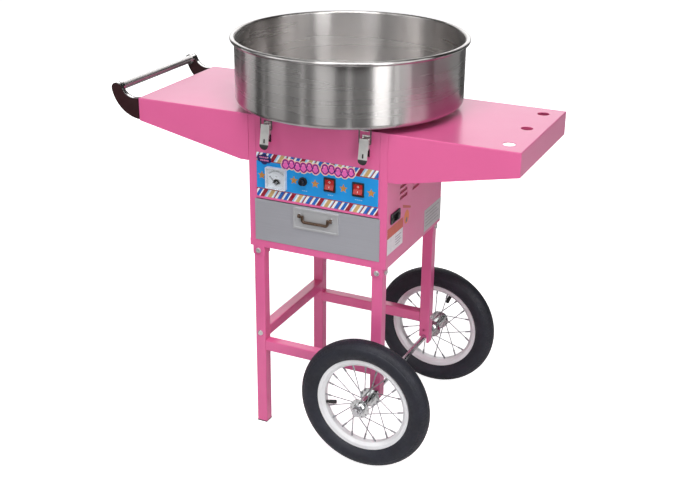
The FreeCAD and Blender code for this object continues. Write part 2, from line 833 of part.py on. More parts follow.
# ------------------------------------------------------------------ shelves and handle
def shelf(side):
    """A folded tray: flat top, tapering sides with inward lips, an end face, and bolting tabs."""
    sheet, length = S.sheet, S.shelf_length
    root = half_cabinet
    top, deep, shallow = shelf_top, S.shelf_root_depth, S.shelf_end_depth
    outline = [
        (root, top - deep),
        (root + S.shelf_flat, top - deep),
        (root + length, top - shallow),
        (root + length, top),
        (root, top),
    ]
    body = doc.addObject("PartDesign::Body", "Shelf")
    pad("XZ_Plane", [mirrored(outline, side)], S.cabinet_width, side="Symmetric", body=body)
    end_x = (root + length).value
    half_depth = half_cabinet.value

    def outer_edge(point):
        on_top = abs(point.z - top.value) < 0.01
        on_side = abs(abs(point.y) - half_depth) < 0.01
        on_end = abs(abs(point.x) - end_x) < 0.01
        return (on_top and (on_side or on_end)) or (on_side and on_end)

    round_edges(body, S.edge_radius, outer_edge)
    lip = 13
    cavity = [
        (root + sheet, top - deep + sheet),
        (root + S.shelf_flat, top - deep + sheet),
        (root + length - sheet, top - shallow + sheet),
        (root + length - sheet, top - sheet),
        (root + sheet, top - sheet),
    ]
    mouth = [
        (root + lip, top - deep - 5),
        (root + S.shelf_flat, top - deep - 5),
        (root + length - lip, top - shallow - 10),
        (root + length - lip, top - shallow + 5),
        (root + lip, top - deep + 10),
    ]
    inside = pad("XZ_Plane", [mirrored(cavity, side)], S.cabinet_width - sheet * 2, side="Symmetric")
    below = pad("XZ_Plane", [mirrored(mouth, side)], S.cabinet_width - lip * 2, side="Symmetric")
    gap = half_cabinet - 17
    low, high = sorted_span((root - 1) * side, (root + 3) * side)
    doorway = slab((low, high), (-gap, gap), (top - deep - 1, top - sheet))
    tools = [inside, below, doorway]
    for y, z in shelf_bolt_places():
        tools.append(rod("X", S.bolt_radius + 0.1, (y, z), (low, high)))
    for y, z in bracket_screw_places():
        near, far = sorted_span((root + length - 3) * side, (root + length + 1) * side)
        if side < 0:
            tools.append(rod("X", S.bolt_radius + 0.1, (y, z), (near, far)))
    if side > 0:
        for step in (-1, 0, 1):
            at = (S.cone_hole_x, S.cone_hole_pitch * step)
            tools.append(rod("Z", S.cone_hole_radius, at, (top - 5, top + 5)))
    return cut(body, *tools)


def mirrored(loop, side):
    """The loop on the +X side, or its mirror image on the -X side."""
    points = [(x * side, z) for x, z in loop]
    return points if side > 0 else points[::-1]


def bracket_middle():
    return half_cabinet - 7.9


def bracket_screw_places():
    return [(bracket_middle() * side, shelf_top - depth) for side in (-1, 1) for depth in (14, 38)]


def bracket_outline():
    """The horn-shaped side view of a handle bracket, from the shelf's end face up to its round tip."""
    root_x = -(half_cabinet + S.shelf_length)
    tip_x, tip_z, tip_radius = -S.handle_x, S.handle_z, 12
    outer_x, outer_z = tip_x - tip_radius, tip_z - 2
    return [
        (root_x, shelf_top - 50),
        (root_x, shelf_top - 1.5),
        (root_x - 15, shelf_top - 3, -36),
        (tip_x + tip_radius - 1, tip_z + 4.5, tip_radius),
        (outer_x, outer_z, 78),
    ]


def bracket_layer(near, far):
    """A slice of both brackets between two distances from the middle of the cart."""
    slices = []
    for side in (-1, 1):
        low, high = sorted_span(near * side, far * side)
        body = pad("XZ_Plane", [bracket_outline()], high - low)
        slices.append(place(body, 0, high, 0))
    return slices


def handle():
    """Two brackets with cover plates, and the tube between them."""
    outer = half_cabinet
    inner = half_cabinet - S.bracket_thickness
    cover = 3
    grip_at = (-S.handle_x, S.handle_z)
    root_x = -(half_cabinet + S.shelf_length)
    seat = S.handle_radius + 0.02
    cores = []
    for side, horn in zip((-1, 1), bracket_layer(inner + cover, outer - cover)):
        near, far = sorted_span((inner - 6) * side, (inner + cover) * side)
        collar = rod("Y", seat + 3, grip_at, (near, far))
        low, high = sorted_span((inner - 7) * side, (outer - cover - 2) * side)
        tools = [rod("Y", seat, grip_at, (low, high))]
        for y, z in bracket_screw_places():
            if y.value * side > 0:
                tools.append(rod("X", S.bolt_radius + 0.1, (y, z), (root_x - 16, root_x + 1)))
        cores.append(cut(fuse(horn, collar), *tools))
    part("handle_brackets", group(*cores))
    hole = rod("Y", seat + 3.05, grip_at, (-half_cabinet + cover + 0.1, half_cabinet - cover - 0.1))
    covers = [cut(plate, hole) for plate in bracket_layer(inner, inner + cover)]
    covers += bracket_layer(outer - cover, outer)
    part("handle_bracket_covers", group(*covers))
    reach = outer - cover - 2
    grip = tube("Y", S.handle_radius, S.handle_radius - 1.5, grip_at, (-reach, reach))
    part("handle_tube", grip)


part("left_shelf", shelf(-1))
part("right_shelf", shelf(1))
handle()

shelf_bolts = []
for side in (-1, 1):
    for y, z in shelf_bolt_places():
        shelf_bolts.append(bolt("X", (y, z), (half_cabinet + S.sheet) * side, -side, 10))
for y, z in bracket_screw_places():
    inner_face = -(half_cabinet + S.shelf_length) + S.sheet
    shelf_bolts.append(bolt("X", (y, z), inner_face, -1, 12))
part("shelf_bolts", group(*shelf_bolts))


# ------------------------------------------------------------------ front controls
panel_face = front_y - OVERLAY_THICKNESS


def voltmeter():
    """The square panel meter: its case with a white dial, a clear lens and a needle."""
    x, z = S.meter_x, S.control_z - 2
    half, depth, dial_depth = 24, 10, 7.5
    front = panel_face - depth
    bezel = pad("XZ_Plane", [rounded((-half, half), (-half, half), 2)], depth)
    place(bezel, x, panel_face, z)
    back = rod("Y", 19.3, (x, z), (panel_face - 1, front_y + 30))
    recess = slab((x - 22, x + 22), (front - 1, front + dial_depth), (z - 22, z + 22))
    case = cut(fuse(bezel, back), recess)
    pivot_z = z - 12
    boss = rod("Y", 1.4, (x, pivot_z), (front + 4.2, front + dial_depth))
    part("voltmeter_case", fuse(case, boss))
    lens = slab((x - 21.9, x + 21.9), (front, front + 1.6), (z - 21.9, z + 21.9))
    part("voltmeter_lens", lens)
    disc = tube("Y", 3.2, 1.46, (x, pivot_z), (front + 5, front + 6))
    pivot = vector(x, 0, pivot_z)
    low, high = (front + 5).value, (front + 5.6).value
    tilt = math.radians(135)
    along = FreeCAD.Vector(math.cos(tilt), 0, math.sin(tilt))
    across = FreeCAD.Vector(-along.z, 0, along.x)
    corners = [along * 3 + across * 0.9, along * 23 + across * 0.3, along * 23 - across * 0.3, along * 3 - across * 0.9]
    loop = [((pivot + corner).x, (pivot + corner).z) for corner in corners]
    blade = place(pad("XZ_Plane", [loop], high - low), 0, high, 0)
    part("voltmeter_needle", fuse(disc, blade))


def fuse_socket():
    """The fuse holder's body in the panel, and its turning cap with the fuse's stem."""
    x, z = S.fuse_x, S.control_z
    at = (x, z)
    flange = rod("Y", 9.8, at, (panel_face - 3, panel_face))
    barrel = rod("Y", 6.1, at, (panel_face - 3, front_y + 34))
    nut = rod("Y", 9, at, (front_y + S.sheet, front_y + S.sheet + 4))
    bore = rod("Y", 3.8, at, (panel_face - 4, front_y + 32))
    part("fuse_holder", cut(fuse(flange, barrel, nut), bore))
    nose = cone((5.6, 7), at, (panel_face - 13, panel_face - 10.5))
    grip = fuse(nose, rod("Y", 7, at, (panel_face - 10.5, panel_face - 3.2)))
    slot = slab((x - 0.8, x + 0.8), (panel_face - 14, panel_face - 11), (z - 8, z + 8))
    stem = rod("Y", 3.4, at, (panel_face - 4, front_y + 30))
    ribs = [rod("Y", 0.8, rib_place(x, z, index), (panel_face - 9.5, panel_face - 4.5)) for index in range(12)]
    part("fuse_cap", cut(fuse(grip, stem), slot, *ribs))


def rib_place(x, z, index):
    angle = math.radians(30 * index + 15)
    return (x + 7 * math.cos(angle), z + 7 * math.sin(angle))


ROCKER_RADIUS = 12
ROCKER_TILT = 12


def rocker_switch(x):
    """A rocker switch: its black housing, and the rocker on two stub pins."""
    z = S.control_z + 2.3
    pivot_y = front_y + 1
    bezel_half_width, bezel_half_height, bezel_depth = 13.6, 15.8, 2
    front = panel_face - bezel_depth
    bezel_loop = rounded(
        (-bezel_half_width, bezel_half_width), (-bezel_half_height, bezel_half_height), 1.5
    )
    bezel = place(pad("XZ_Plane", [bezel_loop], bezel_depth), x, panel_face, z)
    wide, tall = SWITCH_HALF_WIDTH - 0.1, SWITCH_HALF_HEIGHT - 0.1
    box = slab((x - wide, x + wide), (panel_face, front_y + 24), (z - tall, z + tall))
    room = ROCKER_RADIUS + 0.3
    cavity = slab((x - 10.2, x + 10.2), (front - 1, pivot_y + 9), (z - room, z + room))
    pins = rod("X", 1.55, (pivot_y, z), (x - 10.9, x + 10.9))
    housing = cut(fuse(bezel, box), cavity, pins)

    barrel = rod("X", ROCKER_RADIUS, (pivot_y, z), (x - 10, x + 10))
    tilt = math.radians(-ROCKER_TILT)
    face = [(-3.5, 0), (-5.6, 10.6), (-20, 10.6), (-20, -10.6), (-5.6, -10.6)]
    back = [(4, -14), (4, 14), (14, 14), (14, -14)]
    trims = []
    for loop in (face, back):
        body = pad("YZ_Plane", [[turned(point, tilt) for point in loop]], 24)
        trims.append(place(body, x - 12, pivot_y, z))
    rocker = fuse(cut(barrel, *trims), rod("X", 1.5, (pivot_y, z), (x - 10.8, x + 10.8)))
    return housing, rocker


def turned(point, angle):
    """A point in the YZ plane turned about the X axis."""
    y, z = point
    return (y * math.cos(angle) - z * math.sin(angle), y * math.sin(angle) + z * math.cos(angle))


def power_inlet():
    """The appliance inlet on the right wall, with its three pins."""
    y, z = -117.5, 559.5
    wall = half_cabinet
    flange = place(pad("YZ_Plane", [rounded((-25, 25), (-11.5, 11.5), 3)], 2.5), wall, y, z)
    case = slab((wall - 18, wall + 3.5), (y - 13.8, y + 13.8), (z - 10.1, z + 10.1))
    well = slab((wall - 14, wall + 4), (y - 11.8, y + 11.8), (z - 8.1, z + 8.1))
    screws = [rod("X", 1.5, (y + 20 * side, z), (wall - 6, wall + 2.5)) for side in (-1, 1)]
    heads = [rod("X", 3, (y + 20 * side, z), (wall + 2.5, wall + 4)) for side in (-1, 1)]
    pins = []
    for shift, rise in ((-7, -1.5), (0, 2.5), (7, -1.5)):
        pins.append(slab((wall - 14, wall - 2), (y + shift - 1, y + shift + 1), (z + rise - 2, z + rise + 2)))
    return fuse(cut(fuse(flange, case), well), *screws, *heads, *pins)


voltmeter()
fuse_socket()
heat_housing, heat_rocker = rocker_switch(S.heat_x)
power_housing, power_rocker = rocker_switch(S.power_x)
part("switch_housings", group(heat_housing, power_housing))
part("heat_rocker", heat_rocker)
part("power_rocker", power_rocker)
part("power_inlet", power_inlet())


def control_board():
    """The heat control board and its heat sink on the back wall."""
    wall = half_cabinet - S.sheet
    board = slab((-70, 50), (wall - 12, wall - 10), (590, 670))
    posts = [rod("Y", 4, (x, z), (wall - 10, wall)) for x in (-62, 42) for z in (598, 662)]
    sink = slab((-50, -10), (wall - 15, wall - 12), (604, 656))
    fins = [slab((-50 + 9 * step, -48 + 9 * step), (wall - 30, wall - 15), (604, 656)) for step in range(5)]
    block = slab((10, 44), (wall - 24, wall - 12), (604, 650))
    return fuse(board, *posts, sink, *fins, block)


part("control_board", control_board())


# ------------------------------------------------------------------ drawer
def drawer():
    """The tray, its stainless front, the pull plate and its hanging bail, and the runners."""
    face = front_y - 1.4
    back_face = front_y - 0.2
    half = S.drawer_width / 2
    tray_half, sheet = 141, 1
    low, high = S.cabinet_bottom + 24, S.drawer_top - 8
    rear = back_face + S.drawer_depth
    outer = slab((-tray_half, tray_half), (back_face, rear), (low, high))
    inner = slab((-tray_half + sheet, tray_half - sheet), (back_face + sheet, rear - sheet), (low + sheet, high + 1))
    part("drawer_tray", cut(outer, inner))
    front = pad("XZ_Plane", [rounded((-half, half), (S.drawer_bottom, S.drawer_top), 1)], back_face - face)
    part("drawer_front", place(front, 0, back_face, 0))

    middle_z, half_width, half_height, plate = 537, 54, 24, 2
    plate_face = face - plate
    border = 4
    blank = place(
        pad("XZ_Plane", [rounded((-half_width, half_width), (-half_height, half_height), 1.5)], plate + 1.4),
        0,
        face,
        middle_z,
    )
    inner_half = half_width - border
    recess = slab(
        (-inner_half, inner_half),
        (plate_face - 2, plate_face),
        (middle_z - half_height + border, middle_z + half_height - border),
    )
    lug_z, lug_x, bail_radius = 544, 35.5, 3.3
    bail_y = plate_face - bail_radius - 0.5
    lugs = []
    holes = []
    for side in (-1, 1):
        span = sorted_span(as_size(lug_x * side), as_size((lug_x + 5) * side))
        lugs.append(slab(span, (bail_y, plate_face + 0.5), (lug_z - 4.5, lug_z + 4.5)))
        lugs.append(rod("X", 4.5, (bail_y, lug_z), span))
        holes.append(rod("X", 2.05, (bail_y, lug_z), span))
    part("drawer_pull_plate", cut(fuse(cut(blank, recess), *lugs), *holes))

    bar_z = lug_z - 13
    shoulder = lug_x - 4.5
    y = bail_y.value
    path = [(-shoulder, lug_z + 0.5), (-shoulder + 1, bar_z), (shoulder - 1, bar_z), (shoulder, lug_z + 0.5)]
    grip = bent_rod("Bail", [FreeCAD.Vector(px, y, pz) for px, pz in path], bail_radius, 6)
    pivots = []
    for side in (-1, 1):
        span = sorted_span(as_size((shoulder - 3) * side), as_size((lug_x + 4.5) * side))
        pivots.append(rod("X", 2, (bail_y, lug_z), span))
    part("drawer_bail", fuse(grip, *pivots))

    wall = half_cabinet - S.sheet
    runners = []
    for side in (-1, 1):
        ledge = slab(sorted_span(134 * as_size(side), wall * side), (front_y + 4, rear + 6), (low - 1.3, low - 0.1))
        web = slab(sorted_span((wall - 1.2) * side, wall * side), (front_y + 4, rear + 6), (low - 1.3, low + 24))
        stop = slab(sorted_span(134 * as_size(side), wall * side), (rear + 4.8, rear + 6), (low - 1.3, low + 10))
        runners.append(fuse(ledge, web, stop))
    part("drawer_runners", group(*runners))


drawer()


# ------------------------------------------------------------------ latches
def latch_base(x):
    """The plate on the front panel, its two ears and the pin that the lever turns on."""
    pin_y, pin_z = LATCH_PIN_Y, S.latch_pin_z
    plate = slab((x - 8.6, x + 8.6), (front_y - 1.5, front_y), (700, 746))
    ears = []
    for side in (-1, 1):
        span = sorted_span(x + 7.2 * side, x + 8.6 * side)
        ears.append(slab(span, (pin_y, front_y - 1), (pin_z - 2.6, pin_z + 4)))
        ears.append(rod("X", 4, (pin_y, pin_z), span))
    trim = slab((x - 9, x + 9), (pin_y - 6, front_y - 1.5), (pin_z - 8, pin_z - 2.6))
    pin = rod("X", 1.5, (pin_y, pin_z), (x - 11.2, x + 11.2))
    rivets = [rod("Y", 2.4, (x, z), (front_y - 2.6, front_y - 1)) for z in (705, 741)]
    return fuse(cut(fuse(plate, *ears), trim), pin, *rivets)


LATCH_PIN_Y = front_y - 7.5


def latch_lever(x):
    """The over-centre lever: a face that stands off at its foot, two cheeks and a hasp slot."""
    pin_y, pin_z = LATCH_PIN_Y, S.latch_pin_z
    top_z, foot_z = pin_z + 5, pin_z - 49
    top_y, foot_y = pin_y - 3.3, pin_y - 11.5
    face = 1.4
    plate_loop = [
        (top_y, top_z),
        (top_y - face, top_z),
        (foot_y - face, foot_z + 6),
        (foot_y + 1.2 - face, foot_z),
        (foot_y + 1.2, foot_z),
        (foot_y, foot_z + 6),
    ]
    plate = place(pad("YZ_Plane", [plate_loop], 20.4), x - 10.2, 0, 0)
    outline = rod("Y", 10.2, (x, foot_z + 10.2), (pin_y - 30, pin_y + 10))
    above = slab((x - 11, x + 11), (pin_y - 30, pin_y + 10), (foot_z + 10.2, top_z + 1))
    shaped = common(plate, fuse(outline, above))
    cheek_loop = [
        (top_y - 0.5, top_z),
        (pin_y + 3.2, pin_z + 3),
        (pin_y + 3.2, pin_z - S.latch_arm - 3),
        (pin_y - 5.4, pin_z - 18),
    ]
    cheeks = []
    for start in (x - 10.2, x + 9):
        cheeks.append(place(pad("YZ_Plane", [cheek_loop], 1.2), start, 0, 0))
    across = (x - 12, x + 12)
    pin_holes = [rod("X", 1.55, (pin_y, z), across) for z in (pin_z, pin_z - S.latch_arm)]
    slot_z = foot_z + 19
    slot = [rod("Y", 1.9, (x, slot_z + rise), (pin_y - 30, pin_y)) for rise in (-3, 3)]
    slot.append(slab((x - 1.9, x + 1.9), (pin_y - 30, pin_y), (slot_z - 3, slot_z + 3)))
    return cut(fuse(shaped, *cheeks), *pin_holes, *slot)


def latch_bail(x, label):
    """The wire loop that pulls the bowl's hook down."""
    y = LATCH_PIN_Y
    foot_z, top_z = S.latch_pin_z - S.latch_arm, S.bail_top_z
    near, far = 9.3, 13
    path = [(-near, foot_z), (-far, foot_z), (-far, top_z), (far, top_z), (far, foot_z), (near, foot_z)]
    points = [vector(x + across, y, z) for across, z in path]
    return bent_rod(label, points, 1.5, 2.2)


part("latch_bases", group(*[latch_base(S.latch_x * side) for side in (-1, 1)]))
for name, side in (("left", -1), ("right", 1)):
    part(f"{name}_latch_lever", latch_lever(S.latch_x * side))
    part(f"{name}_latch_bail", latch_bail(S.latch_x * side, f"Bail_{name}"))


# ------------------------------------------------------------------ bowl, drive and spinning head
def bowl():
    """A spun stainless bowl with a rolled rim and a hole for the drive."""
    outer, wall, floor = S.bowl_radius, S.bowl_wall, S.bowl_bottom
    corner = 10
    hole = 46
    bead = S.rim_bead_radius
    height = S.rim_centre_z - floor
    neck = 6
    loop = [
        (hole, neck),
        (hole, 0),
        (outer - corner, 0, corner),
        (outer, corner),
        (outer, height),
        (outer - wall, height),
        (outer - wall, corner, -(corner - wall)),
        (outer - corner, wall),
        (hole + wall, wall),
        (hole + wall, neck),
    ]
    dish = revolve("XZ_Plane", loop, 0, 0, floor)
    rim = torus("Z", outer + bead - wall / 2, bead, (0, 0, S.rim_centre_z))
    return fuse(dish, rim)


def bowl_hooks():
    """The hooks under the bowl that the latch bails bear on."""
    hooks = []
    for side in (-1, 1):
        x = S.latch_x * side
        span = (x - 9, x + 9)
        tongue_top = S.bail_top_z - 1.5 - 0.3
        web_y = LATCH_PIN_Y + 2.4
        web = slab(span, (web_y, web_y + 1.5), (tongue_top - 1.5, S.bowl_bottom))
        tongue = slab(span, (LATCH_PIN_Y - 2.5, web_y + 1.5), (tongue_top - 1.5, tongue_top))
        tab = slab(span, (web_y, web_y + 14), (S.bowl_bottom - 1.5, S.bowl_bottom))
        hooks.append(fuse(web, tongue, tab))
    return hooks


def bumper(x, y):
    return rod("Z", 12, (x, y), (S.cabinet_top, S.bowl_bottom))


part("bowl", bowl())
part("bowl_hooks", group(*bowl_hooks()))
part("bowl_bumpers", group(*[bumper(120 * x, 120 * y) for x in (-1, 1) for y in (-1, 1)]))

lid_underside = S.cabinet_top - S.sheet
motor_plate_top = lid_underside - 12
motor_bottom = motor_plate_top - 100


def motor():
    """The motor's can and windings, hung by a square plate, with a bearing at each end."""
    can_loop = [
        (S.shaft_radius + 0.05, 0),
        (S.motor_radius - 3, 0, 3),
        (S.motor_radius, 3),
        (S.motor_radius, 97),
        (S.motor_radius - 2, 97),
        (S.motor_radius - 2, 3),
        (S.shaft_radius + 7, 3),
        (S.shaft_radius + 7, 9),
        (S.shaft_radius + 0.05, 9),
    ]
    can = revolve("XZ_Plane", can_loop, 0, 0, motor_bottom)
    plate = slab((-54, 54), (-54, 54), (motor_plate_top - 3, motor_plate_top))
    seat = rod("Z", S.shaft_radius + 7, (0, 0), (motor_plate_top - 10, motor_plate_top))
    bore = rod("Z", S.shaft_radius + 0.05, (0, 0), (motor_plate_top - 11, motor_plate_top + 1))
    bolt_holes = [rod("Z", 3.2, at, (motor_plate_top - 5, motor_plate_top + 5)) for at in mount_places()]
    stator = tube("Z", S.motor_radius - 1, 34, (0, 0), (motor_bottom + 20, motor_bottom + 78))
    part("motor_housing", cut(fuse(can, stator, plate, seat), bore, *bolt_holes))
    head_hub = S.head_bottom + 6
    shaft = rod("Z", S.shaft_radius, (0, 0), (motor_bottom - 4, head_hub))
    rotor = tube("Z", 33, S.shaft_radius, (0, 0), (motor_bottom + 22, motor_bottom + 76))
    part("motor_armature", fuse(shaft, rotor))
    mounts = []
    for at in mount_places():
        pad_body = rod("Z", 8, at, (motor_plate_top, lid_underside))
        stud = rod("Z", 3, at, (motor_plate_top - 6, S.cabinet_top + 4))
        lower_nut = rod("Z", 5, at, (motor_plate_top - 7, motor_plate_top - 3))
        upper_nut = rod("Z", 5, at, (S.cabinet_top, S.cabinet_top + 4))
        mounts.append(fuse(pad_body, stud, lower_nut, upper_nut))
    part("motor_mounts", group(*mounts))


def slip_rings():
    """Two brass rings on an insulating sleeve, and the holder whose brushes bear on them."""
    low = S.cabinet_top + 4
    sleeve = tube("Z", 12, S.shaft_radius + 0.02, (0, 0), (low, low + 24))
    rings = [tube("Z", 15, 11.9, (0, 0), (low + start, low + start + 7)) for start in (2, 14)]
    part("slip_rings", fuse(sleeve, *rings))
    body = tube("Z", 40, 24.5, (0, 0), (S.cabinet_top, low + 22))
    brushes = []
    for start, side in ((2.5, 1), (14.5, -1)):
        span = sorted_span(as_size(15.3 * side), as_size(39 * side))
        brushes.append(slab(span, (-3, 3), (low + start, low + start + 6)))
    holder = cut(body, *[slab(*bounds) for bounds in brush_ways(low)])
    part("brush_holder", group(holder, *brushes))


def brush_ways(low):
    """The guide holes for the two brushes."""
    ways = []
    for start, side in ((2.5, 1), (14.5, -1)):
        span = sorted_span(as_size(20 * side), as_size(39.1 * side))
        ways.append((span, (-3.1, 3.1), (low + start - 0.1, low + start + 6.1)))
    return ways


def spinning_head():
    """The head: a base that clamps on the shaft, a heating ribbon and a lid with a sugar opening."""
    radius, low, height = S.head_radius, S.head_bottom, S.head_height
    base_loop = [
        (S.shaft_radius + 0.02, -8),
        (11, -8),
        (11, 0),
        (radius, 0),
        (radius, 4),
        (radius - 3, 4),
        (radius - 3, 2.5),
        (S.shaft_radius + 10, 2.5),
        (S.shaft_radius + 6, 12),
        (S.shaft_radius + 0.02, 12),
    ]
    base = revolve("XZ_Plane", base_loop, 0, 0, low)
    ribbon = tube("Z", radius - 4, radius - 5.2, (0, 0), (low + 2.6, low + height - 10))
    windows = []
    for index in range(36):
        angle = math.radians(10 * index)
        direction = FreeCAD.Vector(math.cos(angle), math.sin(angle), 0)
        for z in (low + 8, low + 27):
            at = direction * (radius.value - 8) + FreeCAD.Vector(0, 0, as_size(z).value)
            windows.append(strut(1.2, at, at + direction * 6))
    part("heating_ribbon", cut(ribbon, *windows))
    posts = []
    for index in range(3):
        angle = math.radians(120 * index + 30)
        at = ((radius - 12) * math.cos(angle), (radius - 12) * math.sin(angle))
        posts.append(rod("Z", 2.5, at, (low + 1, low + height - 10)))
    part("head_base", fuse(base, *posts))
    mouth = 21
    part("head_lid", revolve("XZ_Plane", lid_section(radius, mouth), 0, 0, low + height))


def lid_section(radius, mouth):
    """The lid's section: a dished cap with a turned-up mouth."""
    return [
        (radius - 8, -10),
        (radius + 1, -10),
        (radius + 1, -6),
        (radius - 8, -2.5),
        (mouth + 4, -1),
        (mouth + 2, 3),
        (mouth, 3),
        (mouth, -4),
        (mouth + 2, -4),
        (radius - 9, -6),
        (radius - 6, -8.5),
    ]


motor()
slip_rings()
spinning_head()


# ------------------------------------------------------------------ check and write
doc.recompute()
for obj in doc.Objects:
    if "Invalid" in obj.State or "Error" in obj.State:
        raise RuntimeError(f"{obj.Name} ({obj.Label}) failed: {obj.State}")
for obj in parts:
    if obj.Shape.isNull() or not obj.Shape.isValid() or not obj.Shape.Solids:
        raise RuntimeError(f"{obj.Label} has no valid solid")
for obj in parts:
    obj.Shape.exportStep(f"parts/{obj.Label}.step")
print(f"{len(parts)} sub-parts written")
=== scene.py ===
"""Looks for the cotton candy cart: enamel, steel, rubber and the printed panel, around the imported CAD."""

import math

import bpy
from mathutils import Matrix, Vector


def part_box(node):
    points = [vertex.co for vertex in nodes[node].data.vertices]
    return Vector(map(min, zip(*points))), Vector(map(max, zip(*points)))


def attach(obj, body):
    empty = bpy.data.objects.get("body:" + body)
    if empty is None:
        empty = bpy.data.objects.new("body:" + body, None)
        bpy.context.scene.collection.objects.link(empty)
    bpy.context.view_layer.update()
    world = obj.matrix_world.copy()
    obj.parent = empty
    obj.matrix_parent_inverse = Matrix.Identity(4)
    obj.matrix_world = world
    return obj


MM = 0.001
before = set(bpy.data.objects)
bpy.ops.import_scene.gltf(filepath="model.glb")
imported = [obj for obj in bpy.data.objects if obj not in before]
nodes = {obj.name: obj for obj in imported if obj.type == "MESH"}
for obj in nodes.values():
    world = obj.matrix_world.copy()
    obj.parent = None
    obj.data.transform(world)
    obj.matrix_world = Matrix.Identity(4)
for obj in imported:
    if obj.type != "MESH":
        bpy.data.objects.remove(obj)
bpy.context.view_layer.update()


# ------------------------------------------------------------------ materials
class Look:
    """A Principled material whose colour, gloss and relief come from procedural nodes."""

    def __init__(self, name, color, metallic, roughness, **more):
        self.material = bpy.data.materials.new(name)
        self.material.use_nodes = True
        self.material.diffuse_color = (*color, 1)
        self.tree = self.material.node_tree
        self.surface = self.tree.nodes["Principled BSDF"]
        self.color = color
        self.roughness = roughness
        self.set("Base Color", (*color, 1))
        self.set("Metallic", metallic)
        self.set("Roughness", roughness)
        for socket, value in more.items():
            self.set(socket.replace("_", " "), value)

    def set(self, socket, value):
        self.surface.inputs[socket].default_value = value

    def link(self, output, socket):
        self.tree.links.new(output, self.surface.inputs[socket])

    def node(self, kind, inputs=None, **settings):
        made = self.tree.nodes.new(kind)
        for key, value in settings.items():
            setattr(made, key, value)
        for key, value in (inputs or {}).items():
            if isinstance(value, bpy.types.NodeSocket):
                self.tree.links.new(value, made.inputs[key])
            else:
                made.inputs[key].default_value = value
        return made

    def place(self):
        """The point on the piece, in the row frame at rest, in metres."""
        return self.node("ShaderNodeTexCoord").outputs["Object"]

    def math(self, operation, *values):
        return self.node(
            "ShaderNodeMath", dict(enumerate(values)), operation=operation
        ).outputs[0]

    def split(self, vector):
        return self.node("ShaderNodeSeparateXYZ", {0: vector}).outputs

    def join(self, x, y, z):
        return self.node("ShaderNodeCombineXYZ", {0: x, 1: y, 2: z}).outputs[0]

    def length(self, first, second):
        squares = [self.math("MULTIPLY", side, side) for side in (first, second)]
        return self.math("SQRT", self.math("ADD", *squares))

    def scaled(self, value, factor):
        return self.math("MULTIPLY", value, factor)

    def noise(self, scale, detail=3.0, vector=None, stretch=(1, 1, 1)):
        vector = self.place() if vector is None else vector
        moved = self.node("ShaderNodeMapping", {"Vector": vector, "Scale": stretch})
        return self.node(
            "ShaderNodeTexNoise",
            {"Vector": moved.outputs[0], "Scale": scale, "Detail": detail},
        ).outputs[0]

    def between(self, fac, low, high, start=0.3, end=0.7):
        return self.node(
            "ShaderNodeMapRange", {0: fac, 1: start, 2: end, 3: low, 4: high}
        ).outputs[0]

    def blend(self, fac, first, second):
        mix = self.node("ShaderNodeMix", {"Factor": fac}, data_type="RGBA")
        for index, color in ((6, first), (7, second)):
            if isinstance(color, bpy.types.NodeSocket):
                self.tree.links.new(color, mix.inputs[index])
            else:
                mix.inputs[index].default_value = (*color, 1)
        return mix.outputs[2]

    def tint(self, fac, spread):
        """Lets the colour drift a little darker and lighter."""
        dark = [channel * (1 - spread) for channel in self.color]
        light = [min(1.0, channel * (1 + spread)) for channel in self.color]
        self.link(self.blend(self.between(fac, 0, 1), dark, light), "Base Color")
        return self

    def wear(self, fac, spread):
        """Lets the roughness drift."""
        low, high = max(0.02, self.roughness - spread), min(1, self.roughness + spread)
        self.link(self.between(fac, low, high), "Roughness")
        return self

    def relief(self, height, depth, strength, rounded=0.0):
        """Bumps the surface by depth metres, over edges rounded to a small radius."""
        inputs = {"Height": height, "Distance": depth, "Strength": strength}
        if rounded:
            bevel = self.node("ShaderNodeBevel", {"Radius": rounded}, samples=4)
            inputs["Normal"] = bevel.outputs[0]
        self.link(self.node("ShaderNodeBump", inputs).outputs[0], "Normal")
        return self


def enamel(name, color, roughness=0.3):
    """Powder coat: a fine orange-peel skin under a glossy coat."""
    look = Look(name, color, 0.0, roughness, Coat_Weight=0.35, Coat_Roughness=0.12)
    look.tint(look.noise(7.0), 0.012)
    look.wear(look.noise(23.0), 0.015)
    return look.relief(look.noise(900.0, 2.0), 0.000012, 0.25, rounded=0.0009).material


def brushed(name, color, direction, roughness, spread, metallic):
    """Flat stainless steel with its grain along one axis."""
    look = Look(name, color, metallic, roughness)
    stretch = [1.0 if axis == direction else 90.0 for axis in "xyz"]
    grain = look.noise(14.0, 4.0, stretch=stretch)
    look.tint(grain, spread)
    look.wear(look.noise(9.0, 3.0, stretch=stretch), 0.07)
    return look.relief(grain, 0.00002, 0.25, rounded=0.0004).material


def spun(name, color):
    """Steel spun about the Z axis: faint rings, and highlights drawn out across them."""
    look = Look(name, color, 1.0, 0.27, Anisotropic=0.96, Anisotropic_Rotation=0.25)
    x, y, z = look.split(look.place())
    radius = look.length(x, y)
    angle = look.math("ARCTAN2", y, x)
    rings = look.noise(1.0, 3.0, look.join(angle, look.scaled(radius, 700), look.scaled(z, 700)))
    broad = look.noise(1.0, 2.0, look.join(look.scaled(angle, 0.5), radius, look.scaled(z, 60)))
    look.tint(rings, 0.02)
    look.wear(broad, 0.01)
    tangent = look.node("ShaderNodeTangent", direction_type="RADIAL", axis="Z")
    look.link(tangent.outputs[0], "Tangent")
    return look.relief(rings, 0.000005, 0.08).material


def plated(name, color, roughness, metallic=1.0):
    """Chrome or zinc: bright, with faint smears."""
    look = Look(name, color, metallic, roughness)
    look.tint(look.noise(60.0), 0.06)
    look.wear(look.noise(110.0, 4.0), 0.07)
    return look.relief(look.noise(1500.0), 0.00001, 0.3, rounded=0.0003).material


